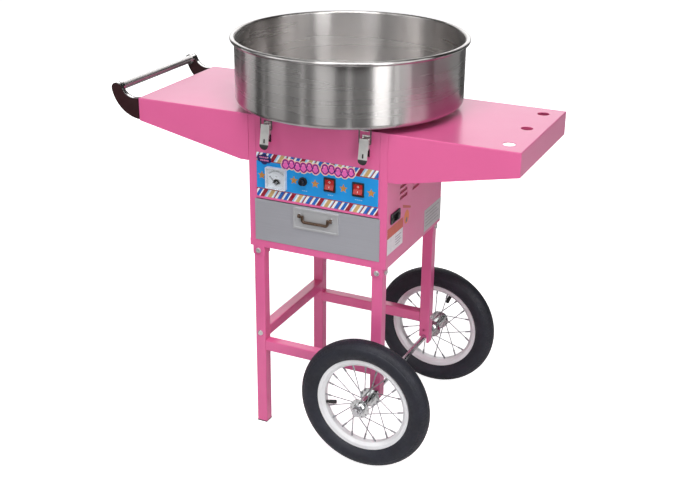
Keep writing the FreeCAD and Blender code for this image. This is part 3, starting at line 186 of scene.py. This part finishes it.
def molded(name, color, roughness, grain=1400.0, spread=0.12):
    """Moulded plastic or rubber with a fine grain."""
    look = Look(name, color, 0.0, roughness)
    look.tint(look.noise(30.0), spread)
    look.wear(look.noise(90.0), 0.05)
    return look.relief(look.noise(grain), 0.00003, 0.4, rounded=0.0003).material


def turned(name, color, roughness):
    """A lathe-turned part, with rings about the Z axis."""
    look = Look(name, color, 1.0, roughness)
    x, y, z = look.split(look.place())
    radius = look.length(x, y)
    rings = look.noise(1.0, 2.0, look.join(look.scaled(radius, 1500), look.scaled(z, 1500), 0))
    look.tint(rings, 0.08)
    look.wear(rings, 0.05)
    return look.relief(rings, 0.00003, 0.4).material


def wheel_place(look, node):
    """(angle about the wheel's axle, distance from it, sideways distance from the wheel's middle)."""
    low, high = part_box(node)
    middle = (low + high) / 2
    x, y, z = look.split(look.place())
    across, up = look.math("SUBTRACT", x, middle.x), look.math("SUBTRACT", z, middle.z)
    angle = look.math("ARCTAN2", up, across)
    radius = look.length(across, up)
    return angle, radius, look.math("SUBTRACT", y, middle.y)


def tyre(name, node):
    """A bicycle tyre: blocks across the tread, ribs round the shoulder and fine rings on the sidewall."""
    look = Look(name, (0.010, 0.011, 0.021), 0.0, 0.55)
    angle, radius, side = wheel_place(look, node)
    tread_start = 0.139
    lateral = look.math("ABSOLUTE", side)
    blocks = look.math("SINE", look.math("ADD", look.scaled(angle, 110.0), look.scaled(lateral, 420.0)))
    grooves = look.math("SINE", look.scaled(lateral, 1150.0))
    pattern = look.math(
        "MINIMUM", look.between(blocks, 0, 1, -0.55, -0.2), look.between(grooves, 0, 1, -0.75, -0.4)
    )
    on_tread = look.between(radius, 0, 1, tread_start, tread_start + 0.0015)
    rings = look.between(look.math("SINE", look.scaled(radius, 2600.0)), 0.8, 1.0, 0.2, 0.8)
    sidewall = look.math("MULTIPLY", rings, look.math("SUBTRACT", 1.0, on_tread))
    height = look.math("ADD", look.math("MULTIPLY", pattern, on_tread), sidewall)
    look.tint(look.noise(40.0), 0.25)
    look.wear(look.noise(120.0), 0.08)
    return look.relief(height, 0.0012, 0.7).material


def rim_finish(name, node):
    """Silver-white enamel on a wheel rim, with a faint machined ring."""
    look = Look(name, (0.88, 0.88, 0.9), 0.12, 0.34, Coat_Weight=0.3, Coat_Roughness=0.1)
    angle, radius, side = wheel_place(look, node)
    rings = look.noise(1.0, 2.0, look.join(angle, look.scaled(radius, 900), look.scaled(side, 900)))
    look.tint(look.noise(18.0), 0.05)
    look.wear(rings, 0.06)
    return look.relief(rings, 0.00003, 0.3).material


def lever_finish(name, tip_top):
    """Chrome lever with a dark vinyl-dipped tip below tip_top."""
    look = Look(name, (0.86, 0.85, 0.83), 1.0, 0.3)
    height = look.split(look.place())[2]
    dipped = look.between(height, 1, 0, tip_top - 0.0002, tip_top + 0.0002)
    smear = look.between(look.noise(80.0), 0, 1)
    steel = look.blend(smear, (0.8, 0.79, 0.77), (0.92, 0.91, 0.89))
    look.link(look.blend(dipped, steel, (0.025, 0.025, 0.025)), "Base Color")
    look.link(look.between(dipped, 0.6, 0, 0, 1), "Metallic")
    look.link(look.between(dipped, 0.28, 0.42, 0, 1), "Roughness")
    return look.relief(look.noise(700.0), 0.00001, 0.3, rounded=0.0004).material


def pull_plate_finish(name, lug_root):
    """Brushed steel, with bronzed lugs in front of y = lug_root."""
    look = Look(name, (0.66, 0.66, 0.68), 0.55, 0.34)
    depth = look.split(look.place())[1]
    on_lug = look.between(depth, 1, 0, lug_root - 0.0002, lug_root + 0.0002)
    grain = look.noise(14.0, 4.0, stretch=(1.0, 90.0, 90.0))
    steel = look.blend(look.between(grain, 0, 1), (0.64, 0.64, 0.66), (0.68, 0.68, 0.70))
    look.link(look.blend(on_lug, steel, (0.13, 0.085, 0.06)), "Base Color")
    look.wear(look.noise(9.0, 3.0, stretch=(1.0, 90.0, 90.0)), 0.05)
    return look.relief(grain, 0.00002, 0.25, rounded=0.0004).material


def clear_plastic(name):
    look = Look(name, (0.97, 0.98, 1.0), 0.0, 0.04, Transmission_Weight=1.0, IOR=1.3, Alpha=0.35)
    look.wear(look.noise(200.0), 0.02)
    return look.relief(look.noise(90.0), 0.000005, 0.2).material


def heated_steel(name):
    """Ribbon steel with the straw and blue tints that heat leaves."""
    look = Look(name, (0.42, 0.38, 0.34), 1.0, 0.35)
    heat = look.noise(35.0, 3.0, stretch=(1, 1, 3))
    look.link(look.blend(look.between(heat, 0, 1), (0.45, 0.33, 0.2), (0.22, 0.24, 0.34)), "Base Color")
    look.wear(look.noise(200.0), 0.08)
    return look.relief(look.noise(600.0), 0.00002, 0.4).material


PINK = (0.80, 0.135, 0.345)
pink = enamel("pink_enamel", PINK)
drawer_steel = brushed("drawer_steel", (0.56, 0.56, 0.61), "x", 0.38, 0.03, metallic=0.55)
plate_steel = pull_plate_finish("plate_steel", -0.1695)
tube_steel = brushed("tube_steel", (0.76, 0.75, 0.74), "y", 0.27, 0.05, metallic=0.88)
bowl_steel = spun("bowl_steel", (0.56, 0.54, 0.53))
chrome = plated("chrome", (0.82, 0.81, 0.8), 0.12)
zinc = plated("zinc", (0.66, 0.66, 0.68), 0.22)
bolt_zinc = plated("bolt_zinc", (0.72, 0.72, 0.72), 0.3, metallic=0.7)
spoke_steel = plated("spoke_steel", (0.36, 0.36, 0.38), 0.3, metallic=0.6)
hub_steel = plated("hub_steel", (0.66, 0.67, 0.67), 0.16)
dark_wire = plated("dark_wire", (0.2, 0.19, 0.18), 0.3)
bail_steel = plated("bail_steel", (0.13, 0.085, 0.06), 0.32, metallic=0.7)
brown = molded("bracket_brown", (0.038, 0.013, 0.015), 0.22, 700.0, 0.04)
rubber = molded("rubber", (0.02, 0.02, 0.02), 0.6)
black_plastic = molded("black_plastic", (0.02, 0.02, 0.022), 0.38)
meter_white = molded("meter_white", (0.72, 0.76, 0.82), 0.3)
rocker_red = molded("rocker_red", (0.44, 0.010, 0.010), 0.22, 900.0, 0.05)
board_green = molded("board_green", (0.03, 0.14, 0.06), 0.45)
insulator = molded("insulator", (0.2, 0.09, 0.04), 0.5)
motor_black = enamel("motor_enamel", (0.05, 0.05, 0.055), 0.4)
aluminium = turned("head_aluminium", (0.78, 0.78, 0.79), 0.3)
steel_turned = turned("turned_steel", (0.5, 0.5, 0.5), 0.35)
brass = turned("brass", (0.8, 0.58, 0.28), 0.28)
overlay_blue = molded("overlay_blue", (0.0, 0.29, 0.74), 0.4, 500.0, 0.02)

TIP_LENGTH = 11.5 * MM
tip_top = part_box("left_latch_lever")[0].z + TIP_LENGTH
LOOKS = {
    pink: ["left_legs", "right_legs", "cross_rails", "left_rail", "cabinet_shell", "base_pan", "front_panel"]
    + ["top_plate", "left_shelf", "right_shelf"],
    rubber: ["foot_caps", "bowl_bumpers", "motor_mounts", "front_wheel_inner_tube", "rear_wheel_inner_tube"],
    zinc: ["axle", "axle_fittings", "drawer_runners"],
    bolt_zinc: ["frame_bolts_and_plugs", "shelf_bolts"],
    hub_steel: ["front_wheel_hub", "rear_wheel_hub"],
    spoke_steel: ["front_wheel_spokes", "rear_wheel_spokes"],
    chrome: ["handle_brackets", "latch_bases", "bowl_hooks"],
    lever_finish("lever_chrome", tip_top): ["left_latch_lever", "right_latch_lever"],
    dark_wire: ["left_latch_bail", "right_latch_bail"],
    bail_steel: ["drawer_bail"],
    brown: ["handle_bracket_covers"],
    tube_steel: ["handle_tube"],
    drawer_steel: ["drawer_front", "drawer_tray"],
    plate_steel: ["drawer_pull_plate"],
    bowl_steel: ["bowl"],
    overlay_blue: ["control_overlay"],
    meter_white: ["voltmeter_case"],
    clear_plastic("lens"): ["voltmeter_lens"],
    black_plastic: ["voltmeter_needle", "fuse_holder", "switch_housings", "power_inlet"],
    molded("fuse_black", (0.012, 0.015, 0.024), 0.16): ["fuse_cap"],
    rocker_red: ["heat_rocker", "power_rocker"],
    board_green: ["control_board"],
    motor_black: ["motor_housing"],
    steel_turned: ["motor_armature"],
    brass: ["slip_rings"],
    insulator: ["brush_holder"],
    aluminium: ["head_base", "head_lid"],
    heated_steel("ribbon_steel"): ["heating_ribbon"],
    tyre("front_tyre", "front_wheel_tyre"): ["front_wheel_tyre"],
    tyre("rear_tyre", "rear_wheel_tyre"): ["rear_wheel_tyre"],
    rim_finish("front_rim", "front_wheel_rim"): ["front_wheel_rim"],
    rim_finish("rear_rim", "rear_wheel_rim"): ["rear_wheel_rim"],
}
for material, names in LOOKS.items():
    for name in names:
        nodes[name].data.materials.clear()
        nodes[name].data.materials.append(material)


# ------------------------------------------------------------------ printed and stuck-on graphics
LAYER_STEP, LAYERS = 0.003, 8
PRINT_GAP = 0.01


def slab(vertices, faces, front, back):
    """Adds a closed slab between two matching loops of points."""
    first, count = len(vertices), len(front)
    vertices += front + back
    near = list(range(first, first + count))
    faces += [near, [index + count for index in reversed(near)]]
    for index in range(count):
        after = (index + 1) % count
        faces.append([first + after, first + index, first + count + index, first + count + after])


def print_ink(name, color, roughness):
    """Ink, paint or sticker vinyl."""
    look = Look("ink_" + name, color, 0.0, roughness)
    look.tint(look.noise(120.0), 0.06)
    look.wear(look.noise(60.0), 0.04)
    return look.relief(look.noise(900.0), 0.00001, 0.3).material


def solid(name, vertices, faces, material, body):
    """A piece of scene.py's own, riding on a body of the frame."""
    mesh = bpy.data.meshes.new(name)
    mesh.from_pydata(vertices, [], faces)
    mesh.update()
    mesh.materials.append(material)
    piece = bpy.data.objects.new(name, mesh)
    bpy.context.scene.collection.objects.link(piece)
    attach(piece, body)


def prints(name, outlines, face, lift, color):
    """Flat printed shapes as one piece.

    outlines are (x, z) loops in millimetres on a face at y = face metres. lift is how far the first shape
    stands in front of it, in millimetres. Each next shape stands LAYER_STEP further out, starting over after
    LAYERS shapes, so that shapes that overlap don't share a face.
    """
    vertices, faces = [], []
    for order, outline in enumerate(outlines):
        near, far = face - (lift + LAYER_STEP * (order % LAYERS)) * MM, face - PRINT_GAP * MM
        slab(vertices, faces, *([(x * MM, y, z * MM) for x, z in outline] for y in (near, far)))
    solid(name, vertices, faces, print_ink(name, color, 0.3), "cart")


def circle(x, z, radius, count=20):
    return [
        (x + radius * math.cos(2 * math.pi * k / count), z + radius * math.sin(2 * math.pi * k / count))
        for k in range(count)
    ]


def box_loop(x0, x1, z0, z1):
    return [(x0, z0), (x1, z0), (x1, z1), (x0, z1)]


def star(x, z, radius):
    points = []
    for k in range(10):
        reach = radius if k % 2 == 0 else radius * 0.45
        angle = math.radians(90 + 36 * k)
        points.append((x + reach * math.cos(angle), z + reach * math.sin(angle)))
    return points


def ring_parts(x, z, inner, outer, start, end, count):
    """An arc-shaped band as a run of quads."""
    parts = []
    for k in range(count):
        a0 = math.radians(start + (end - start) * k / count)
        a1 = math.radians(start + (end - start) * (k + 1) / count)
        corners = [(inner, a0), (outer, a0), (outer, a1), (inner, a1)]
        parts.append([(x + r * math.cos(a), z + r * math.sin(a)) for r, a in corners])
    return parts


def clip(points, limit, keep_above):
    """The part of a loop on one side of a vertical line at x = limit."""
    kept = []
    for (x0, z0), (x1, z1) in zip(points, points[1:] + points[:1]):
        inside0, inside1 = (x0 >= limit) == keep_above, (x1 >= limit) == keep_above
        if inside0:
            kept.append((x0, z0))
        if inside0 != inside1:
            share = (limit - x0) / (x1 - x0)
            kept.append((limit, z0 + share * (z1 - z0)))
    return kept


overlay_low, overlay_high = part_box("control_overlay")
OVERLAY_FACE = overlay_low.y
LEFT, RIGHT = overlay_low.x / MM, overlay_high.x / MM
BOTTOM, TOP = overlay_low.z / MM, overlay_high.z / MM

INKS = {
    "red": (0.33, 0.012, 0.03),
    "sky": (0.30, 0.60, 0.86),
    "white": (0.86, 0.86, 0.86),
    "tan": (0.62, 0.40, 0.16),
    "royal": (0.01, 0.13, 0.52),
}
CANDY = [("red", 10), ("sky", 4), ("white", 4), ("tan", 9), ("white", 4), ("sky", 2), ("red", 3)]
CANDY += [("white", 6), ("royal", 8), ("red", 2), ("white", 5), ("royal", 8), ("white", 3)]


def candy_band(name, low, high, start):
    """Slanted candy stripes between two heights, cut off square at the overlay's edges."""
    lean = (high - low) * 0.62
    stripes = {ink: [] for ink in INKS}
    x, index = start, 0
    while x < RIGHT:
        ink, width = CANDY[index % len(CANDY)]
        loop = [(x, low), (x + width, low), (x + width + lean, high), (x + lean, high)]
        loop = clip(loop, LEFT, True)
        loop = clip(loop, RIGHT, False) if loop else loop
        if len(loop) > 2:
            stripes[ink].append(loop)
        x += width
        index += 1
    for ink, loops in stripes.items():
        prints(f"{name}_{ink}", loops, OVERLAY_FACE, 0.04, INKS[ink])


BAND_HEIGHT, BORDER = 17.5, 1.8
candy_band("bottom_band", BOTTOM, BOTTOM + BAND_HEIGHT, LEFT - 60)
candy_band("top_band", TOP - BAND_HEIGHT, TOP, LEFT - 36)
borders = [
    box_loop(LEFT, RIGHT, BOTTOM + BAND_HEIGHT, BOTTOM + BAND_HEIGHT + BORDER),
    box_loop(LEFT, RIGHT, TOP - BAND_HEIGHT - BORDER, TOP - BAND_HEIGHT),
]
prints("band_borders", borders, OVERLAY_FACE, 0.05, INKS["red"])

CONTROL_Z = 621
STAR_PLACES = [-131.4, -53.3, -2.4, 64.2, 128.2]
prints("stars", [star(x, CONTROL_Z, 10.2) for x in STAR_PLACES], OVERLAY_FACE, 0.05, (0.54, 0.25, 0.05))


def tuft(x, z, size):
    """The circles of one tall, narrow tuft."""
    return [
        (x - 0.24 * size, z - 0.22 * size, 0.33 * size),
        (x + 0.24 * size, z - 0.2 * size, 0.32 * size),
        (x, z + 0.28 * size, 0.4 * size),
        (x, z - 0.42 * size, 0.34 * size),
    ]


puffs = []
for start, spacing, count, height in ((-73, 14.3, 6, 654.5), (21, 15.2, 5, 657.5)):
    for index in range(count):
        rise, swell = 1.8 * math.sin(index * 1.9), math.cos(index * 2.3)
        puffs += tuft(start + spacing * index, height + rise, 11.4 + swell)
for name, grow, lift, color in (
    ("puff_halo_cream", 5.2, 0.07, (0.85, 0.74, 0.48)),
    ("puff_halo_pink", 3.6, 0.10, (0.80, 0.08, 0.36)),
    ("puff_outline", 1.8, 0.13, (0.02, 0.015, 0.15)),
    ("puff_sugar", 0.0, 0.16, (0.86, 0.14, 0.50)),
):
    prints(name, [circle(x, z, radius + grow) for x, z, radius in puffs], OVERLAY_FACE, lift, color)
# tuft() makes four circles, and the third is the top one, which catches the light
glints = [circle(x - 1.2, z + 1.4, 1.1, 10) for x, z, radius in puffs[2::4]]
prints("puff_glints", glints, OVERLAY_FACE, 0.19, (0.95, 0.62, 0.75))

badge = [(-134.5, 659, 8.0), (-125, 661, 9.5), (-115.5, 658, 8.0), (-125, 655.5, 9.5)]
prints("badge_field", [circle(x, z, radius) for x, z, radius in badge], OVERLAY_FACE, 0.1, (0.02, 0.02, 0.12))
badge_dots = [circle(-135 + 4.2 * k + 2 * row, 662 - 6.4 * row, 1.9, 14) for row in (0, 1) for k in range(5)]
prints("badge_sugar", badge_dots, OVERLAY_FACE, 0.14, (0.72, 0.2, 0.42))
prints("badge_glint", [circle(-116, 663, 1.2, 12)], OVERLAY_FACE, 0.15, (0.9, 0.9, 0.92))

DASH_LENGTH, DASH_SPACING = 3.2, 4.4
captions = []
for x, count in ((-27.6, 3), (34, 3), (99.6, 4)):
    for k in range(count):
        middle = x + (k - (count - 1) / 2) * DASH_SPACING
        captions.append(box_loop(middle - DASH_LENGTH / 2, middle + DASH_LENGTH / 2, 600.4, 602))
prints("caption_dashes", captions, OVERLAY_FACE, 0.05, (0.34, 0.58, 0.80))


# ------------------------------------------------------------------ meter dial
lens_low, lens_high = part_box("voltmeter_lens")
METER_X = (lens_low.x + lens_high.x) / 2 / MM
METER_Z = (lens_low.z + lens_high.z) / 2 / MM
DIAL_DEPTH, CARD_HALF = 7.5, 21.5
DIAL_FACE = lens_low.y + DIAL_DEPTH * MM
PIVOT_Z = METER_Z - 12
DIAL_BLACK = (0.05, 0.06, 0.08)
card = box_loop(METER_X - CARD_HALF, METER_X + CARD_HALF, METER_Z - CARD_HALF, METER_Z + CARD_HALF)
prints("dial_card", [card], DIAL_FACE, 0.05, (0.80, 0.83, 0.87))
SCALE_Z = PIVOT_Z + 3
ARC_INNER, ARC_OUTER, LONG_TICK, SHORT_TICK = 24.2, 24.8, 29, 27
ticks = ring_parts(METER_X, SCALE_Z, ARC_INNER, ARC_OUTER, 45, 135, 24)
for k in range(16):
    angle = 45 + 6 * k
    reach = LONG_TICK if k % 5 == 0 else SHORT_TICK
    ticks += ring_parts(METER_X, SCALE_Z, ARC_OUTER, reach, angle - 0.7, angle + 0.7, 1)
prints("dial_scale", ticks, DIAL_FACE, 0.09, DIAL_BLACK)
dome_turns = [math.pi * k / 14 for k in range(15)]
dome = [(METER_X + 9 * math.cos(turn), PIVOT_Z + 10 * math.sin(turn)) for turn in dome_turns]
prints("dial_cover", [dome], DIAL_FACE, 0.6, (0.02, 0.02, 0.02))
# a small light grey disc printed on the black dial cover: a painted glint of light on the dome
prints("dial_cover_glint", [circle(METER_X, PIVOT_Z + 2, 2.6, 16)], DIAL_FACE, 0.75, (0.8, 0.8, 0.82))
unit_mark = box_loop(METER_X - 1.8, METER_X + 1.8, METER_Z + 3.4, METER_Z + 4.4)
prints("dial_unit", [unit_mark], DIAL_FACE, 0.09, DIAL_BLACK)


# ------------------------------------------------------------------ switch marks
ROCKER_PIVOT = (-0.163, 0.6243)
ROCKER_REST = math.radians(-12)
ROCKER_SLOPE = math.atan2(2.1, 10.6)
MARK_FRONT, MARK_BACK = -0.12, 0.05
FACE_Y, MARK_HEIGHT = -4.62, 5.6


def rocker_marks(node, body):
    """A ring on the upper half and a bar on the lower half, standing just proud of the tilted faces."""
    low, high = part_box(node)
    pivot = Vector(((low.x + high.x) / 2, *ROCKER_PIVOT))
    tilt = Matrix.Rotation(ROCKER_REST, 3, "X")
    vertices, faces = [], []
    ring = ring_parts(0, 0, 1.5, 2.2, 0, 360, 16)
    bar = [box_loop(-0.4, 0.4, -2.0, 2.0)]
    for marks, side in ((ring, 1), (bar, -1)):
        lean = Matrix.Rotation(side * ROCKER_SLOPE, 3, "X")
        middle = Vector((0, FACE_Y, side * MARK_HEIGHT))
        for outline in marks:
            loops = []
            for depth in (MARK_FRONT, MARK_BACK):
                points = [middle + lean @ Vector((x, depth, z)) for x, z in outline]
                loops.append([tuple(pivot + tilt @ (point * MM)) for point in points])
            slab(vertices, faces, *loops)
    solid(f"{node}_marks", vertices, faces, print_ink(f"{node}_marks", (0.85, 0.8, 0.8), 0.3), body)


rocker_marks("heat_rocker", "heat_switch")
rocker_marks("power_rocker", "power_switch")


# ------------------------------------------------------------------ labels on the right wall
shell_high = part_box("cabinet_shell")[1]


def wall_shape(name, outline, lift, color, roughness=0.35):
    """A blank sticker on the right wall: an outline of (y, z) points in millimetres."""
    vertices, faces = [], []
    front, back = shell_high.x + lift * MM, shell_high.x + PRINT_GAP * MM
    slab(vertices, faces, *([(x, y * MM, z * MM) for y, z in outline] for x in (front, back)))
    solid(name, vertices, faces, print_ink(name, color, roughness), "cart")


def wall_label(name, y0, y1, z0, z1, lift, color):
    """A blank rectangular sticker on the right wall."""
    wall_shape(name, box_loop(y0, y1, z0, z1), lift, color)


def wall_lines(name, count, top, spacing, start, end, shorter, lift, color):
    """Rows of plain print, every other one ending shorter."""
    for row in range(count):
        z = top - spacing * row
        wall_label(f"{name}_{row}", start, end - shorter * (row % 2), z, z + 2, lift, color)


wall_label("wall_label_white", -157, -71, 482, 542, 0.1, (0.80, 0.76, 0.80))
wall_label("wall_label_red", -157, -71, 519, 542, 0.14, (0.62, 0.09, 0.05))
wall_lines("wall_label_line", 4, 508.5, 6, -112, -80, 5, 0.13, (0.35, 0.3, 0.36))
OVAL_Y, OVAL_Z = -51, 536
turns = [k / 12 * math.pi for k in range(24)]
LABEL_OVAL = [(OVAL_Y + 14 * math.cos(turn), OVAL_Z + 16 * math.sin(turn)) for turn in turns]
wall_shape("wall_label_oval", LABEL_OVAL, 0.17, (0.82, 0.20, 0.04))
oval_mark = [(OVAL_Y + (y - OVAL_Y) * 0.35, 529 + (z - OVAL_Z) * 0.35) for y, z in LABEL_OVAL]
wall_shape("wall_label_oval_mark", oval_mark, 0.2, (0.2, 0.16, 0.2))
wall_shape("wall_label_strip", [(-74, 564), (-28, 549), (-28, 554), (-74, 571)], 0.17, (0.60, 0.09, 0.07))
wall_label("rating_plate", 58, 163, 459, 512, 0.3, (0.55, 0.52, 0.54))
wall_lines("rating_plate_line", 5, 502, 8, 66, 150, 12, 0.34, (0.3, 0.27, 0.29))

# the heads of the inlet's two screws, which end just under its face
inlet_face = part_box("power_inlet")[1].x
SCREW_SUNK = 0.05
for side, y in enumerate((-137.5, -97.5)):
    lift = (inlet_face - shell_high.x) / MM - SCREW_SUNK
    wall_shape(f"inlet_screw_{side}", circle(y, 559.5, 2.4, 16), lift, (0.7, 0.72, 0.72), 0.25)


# ------------------------------------------------------------------ behind the vents and the latch slots
def sheet(name, low, high, color, body="cart"):
    """A thin painted sheet between two corners, in millimetres."""
    corners = [(x, y, z) for x in (low[0], high[0]) for y in (low[1], high[1]) for z in (low[2], high[2])]
    vertices = [tuple(value * MM for value in corner) for corner in corners]
    faces = [(0, 1, 3, 2), (4, 6, 7, 5), (0, 4, 5, 1), (2, 3, 7, 6), (0, 2, 6, 4), (1, 5, 7, 3)]
    solid(name, vertices, faces, print_ink(name, color, 0.4), body)


INNER_WALL = 162.8
SHADE_SHEET_NEAR, SHADE_SHEET_FAR = INNER_WALL - 0.4, INNER_WALL - 0.9
SLOT_HALF = 3.4
for name, side in (("left", -1), ("right", 1)):
    low, high = sorted((side * SHADE_SHEET_NEAR, side * SHADE_SHEET_FAR))
    # dark pink sheets just inside the side walls, behind the vents: the cabinet's own pink inside, darkened
    # as painted shade
    sheet(f"{name}_vent_screen", (low, -97, 584), (high, 98, 636), (0.42, 0.04, 0.10))
    lever_low, lever_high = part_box(f"{name}_latch_lever")
    lever_x = (lever_low.x + lever_high.x) / 2 / MM
    shade_low, shade_high = (lever_x - SLOT_HALF, -179.2, 698.5), (lever_x + SLOT_HALF, -178.7, 711.5)
    sheet(f"{name}_slot_shade", shade_low, shade_high, (0.02, 0.02, 0.02), f"{name}_lever")


# ------------------------------------------------------------------ studio
def plain(name, color):
    """Matt studio paper or cloth."""
    look = Look(name, color, 0.0, 0.9)
    look.tint(look.noise(0.7), 0.01)
    return look.material


FLOOR_GLOW, WORLD_LIGHT = 0.86, 0.02
bpy.ops.mesh.primitive_plane_add(size=40, location=(0, 0, 0))
floor = bpy.context.object
floor.name = "floor"
paper = plain("floor_paper", (0.88, 0.88, 0.88))
seen = paper.node_tree.nodes.new("ShaderNodeLightPath").outputs["Is Camera Ray"]
paper_surface = paper.node_tree.nodes["Principled BSDF"]
paper_surface.inputs["Emission Color"].default_value = (1, 1, 1, 1)
glow = paper.node_tree.nodes.new("ShaderNodeMath")
glow.operation = "MULTIPLY"
glow.inputs[1].default_value = FLOOR_GLOW
paper.node_tree.links.new(seen, glow.inputs[0])
paper.node_tree.links.new(glow.outputs[0], paper_surface.inputs["Emission Strength"])
floor.data.materials.append(paper)

world = bpy.data.worlds.new("studio")
world.use_nodes = True
world.node_tree.nodes["Background"].inputs["Color"].default_value = (1, 1, 1, 1)
seen = world.node_tree.nodes.new("ShaderNodeLightPath").outputs["Is Camera Ray"]
glow = world.node_tree.nodes.new("ShaderNodeMapRange")
glow.inputs["To Min"].default_value = WORLD_LIGHT
glow.inputs["To Max"].default_value = 1.0
world.node_tree.links.new(seen, glow.inputs["Value"])
world.node_tree.links.new(glow.outputs[0], world.node_tree.nodes["Background"].inputs["Strength"])
bpy.context.scene.world = world


def softbox(name, azimuth, distance, height, target, size, power):
    """A rectangular studio lamp at an azimuth from +X about the cart, aimed at a point."""
    light = bpy.data.lights.new(name, "AREA")
    light.shape = "RECTANGLE"
    light.size, light.size_y = size
    light.energy = power
    lamp = bpy.data.objects.new(name, light)
    turn = math.radians(azimuth)
    place = Vector((distance * math.cos(turn), distance * math.sin(turn), height))
    lamp.location = place
    lamp.visible_camera = False
    lamp.rotation_euler = (Vector(target) - place).to_track_quat("-Z", "Y").to_euler()
    bpy.context.scene.collection.objects.link(lamp)
    return lamp


def reflector(name, azimuth, height, power):
    """A strip lamp that only shows in polished surfaces, as the streaks down the bowl's wall."""
    lamp = softbox(name, azimuth, 3.0, height, (0, 0, 0.85), (0.95, 1.2), power)
    lamp.visible_diffuse = False


CARD_HEIGHT = 0.004


def flag(name, azimuth, near, far, width):
    """A dark card just over the floor, seen only in reflections, as a black flag is in a studio."""
    turn = math.radians(azimuth)
    along = Vector((math.cos(turn), math.sin(turn), 0))
    across = Vector((-math.sin(turn), math.cos(turn), 0))
    corners = []
    for reach, side in ((near, -1), (far, -far / near), (far, far / near), (near, 1)):
        corners.append(along * reach + across * side * width / 2 + Vector((0, 0, CARD_HEIGHT)))
    card = bpy.data.meshes.new(name)
    card.from_pydata(corners, [], [(0, 1, 2, 3)])
    card.materials.append(flag_cloth)
    piece = bpy.data.objects.new(name, card)
    bpy.context.scene.collection.objects.link(piece)
    piece.visible_camera = False
    piece.visible_diffuse = False
    piece.visible_shadow = False


sky = bpy.data.lights.new("sky_panel", "SUN")
sky.angle = math.radians(75)
sky.energy = 0.55
sky_lamp = bpy.data.objects.new("sky_panel", sky)
sky_lamp.rotation_euler = (math.radians(20), 0, math.radians(15))
bpy.context.scene.collection.objects.link(sky_lamp)

middle = (0, 0, 0.6)
upper = (0, 0, 0.8)
softbox("overhead", -70, 1.6, 3.2, middle, (2.0, 1.2), 54)
softbox("key", -35.4, 2.9, 1.5, upper, (0.85, 2.6), 28)
softbox("fill", -88, 3.0, 1.5, upper, (1.0, 2.4), 9.5)
softbox("left_box", -136, 2.8, 1.5, upper, (1.0, 2.2), 8)
softbox("backdrop", 114.6, 3.6, 2.2, upper, (5.0, 2.6), 64)

LOW, HIGH = 0.6, 1.9
REFLECTORS = [(-175, LOW, 3), (-155, HIGH, 4), (-135, HIGH, 4), (-115, HIGH, 8), (-95, HIGH, 6)]
REFLECTORS += [(-35, HIGH, 6), (-15, LOW, 3), (-15, HIGH, 9), (5, HIGH, 9)]
for place, (azimuth, height, power) in enumerate(REFLECTORS):
    reflector(f"reflector_{place}", azimuth, height, power)

# a card every 45 degrees, except at the back right
flag_cloth = plain("flag_cloth", (0.05, 0.05, 0.05))
for step in (0, 2, 3, 4, 5, 6, 7):
    flag(f"floor_flag_{step}", 45 * step + 2, 0.75, 4.5, 0.56)


# ------------------------------------------------------------------ camera
CAMERA_PLACE = Vector((1.04459, -2.27123, 1.45661))
AZIMUTH, ELEVATION, ROLL = math.radians(25.11), math.radians(22.29), math.radians(0.48)
forward = Vector(
    (
        -math.sin(AZIMUTH) * math.cos(ELEVATION),
        math.cos(AZIMUTH) * math.cos(ELEVATION),
        -math.sin(ELEVATION),
    )
)
level = forward.cross(Vector((0, 0, 1))).normalized()
upright = level.cross(forward)
right = level * math.cos(ROLL) + upright * math.sin(ROLL)
up = upright * math.cos(ROLL) - level * math.sin(ROLL)
lens = bpy.data.cameras.new("camera")
lens.sensor_width = 36
lens.sensor_fit = "HORIZONTAL"
lens.lens = 61.99
lens.clip_end = 100
camera = bpy.data.objects.new("camera", lens)
camera.matrix_world = Matrix.Translation(CAMERA_PLACE) @ Matrix((right, up, -forward)).transposed().to_4x4()
bpy.context.scene.collection.objects.link(camera)
bpy.context.scene.camera = camera
bpy.context.scene.view_settings.view_transform = "Standard"
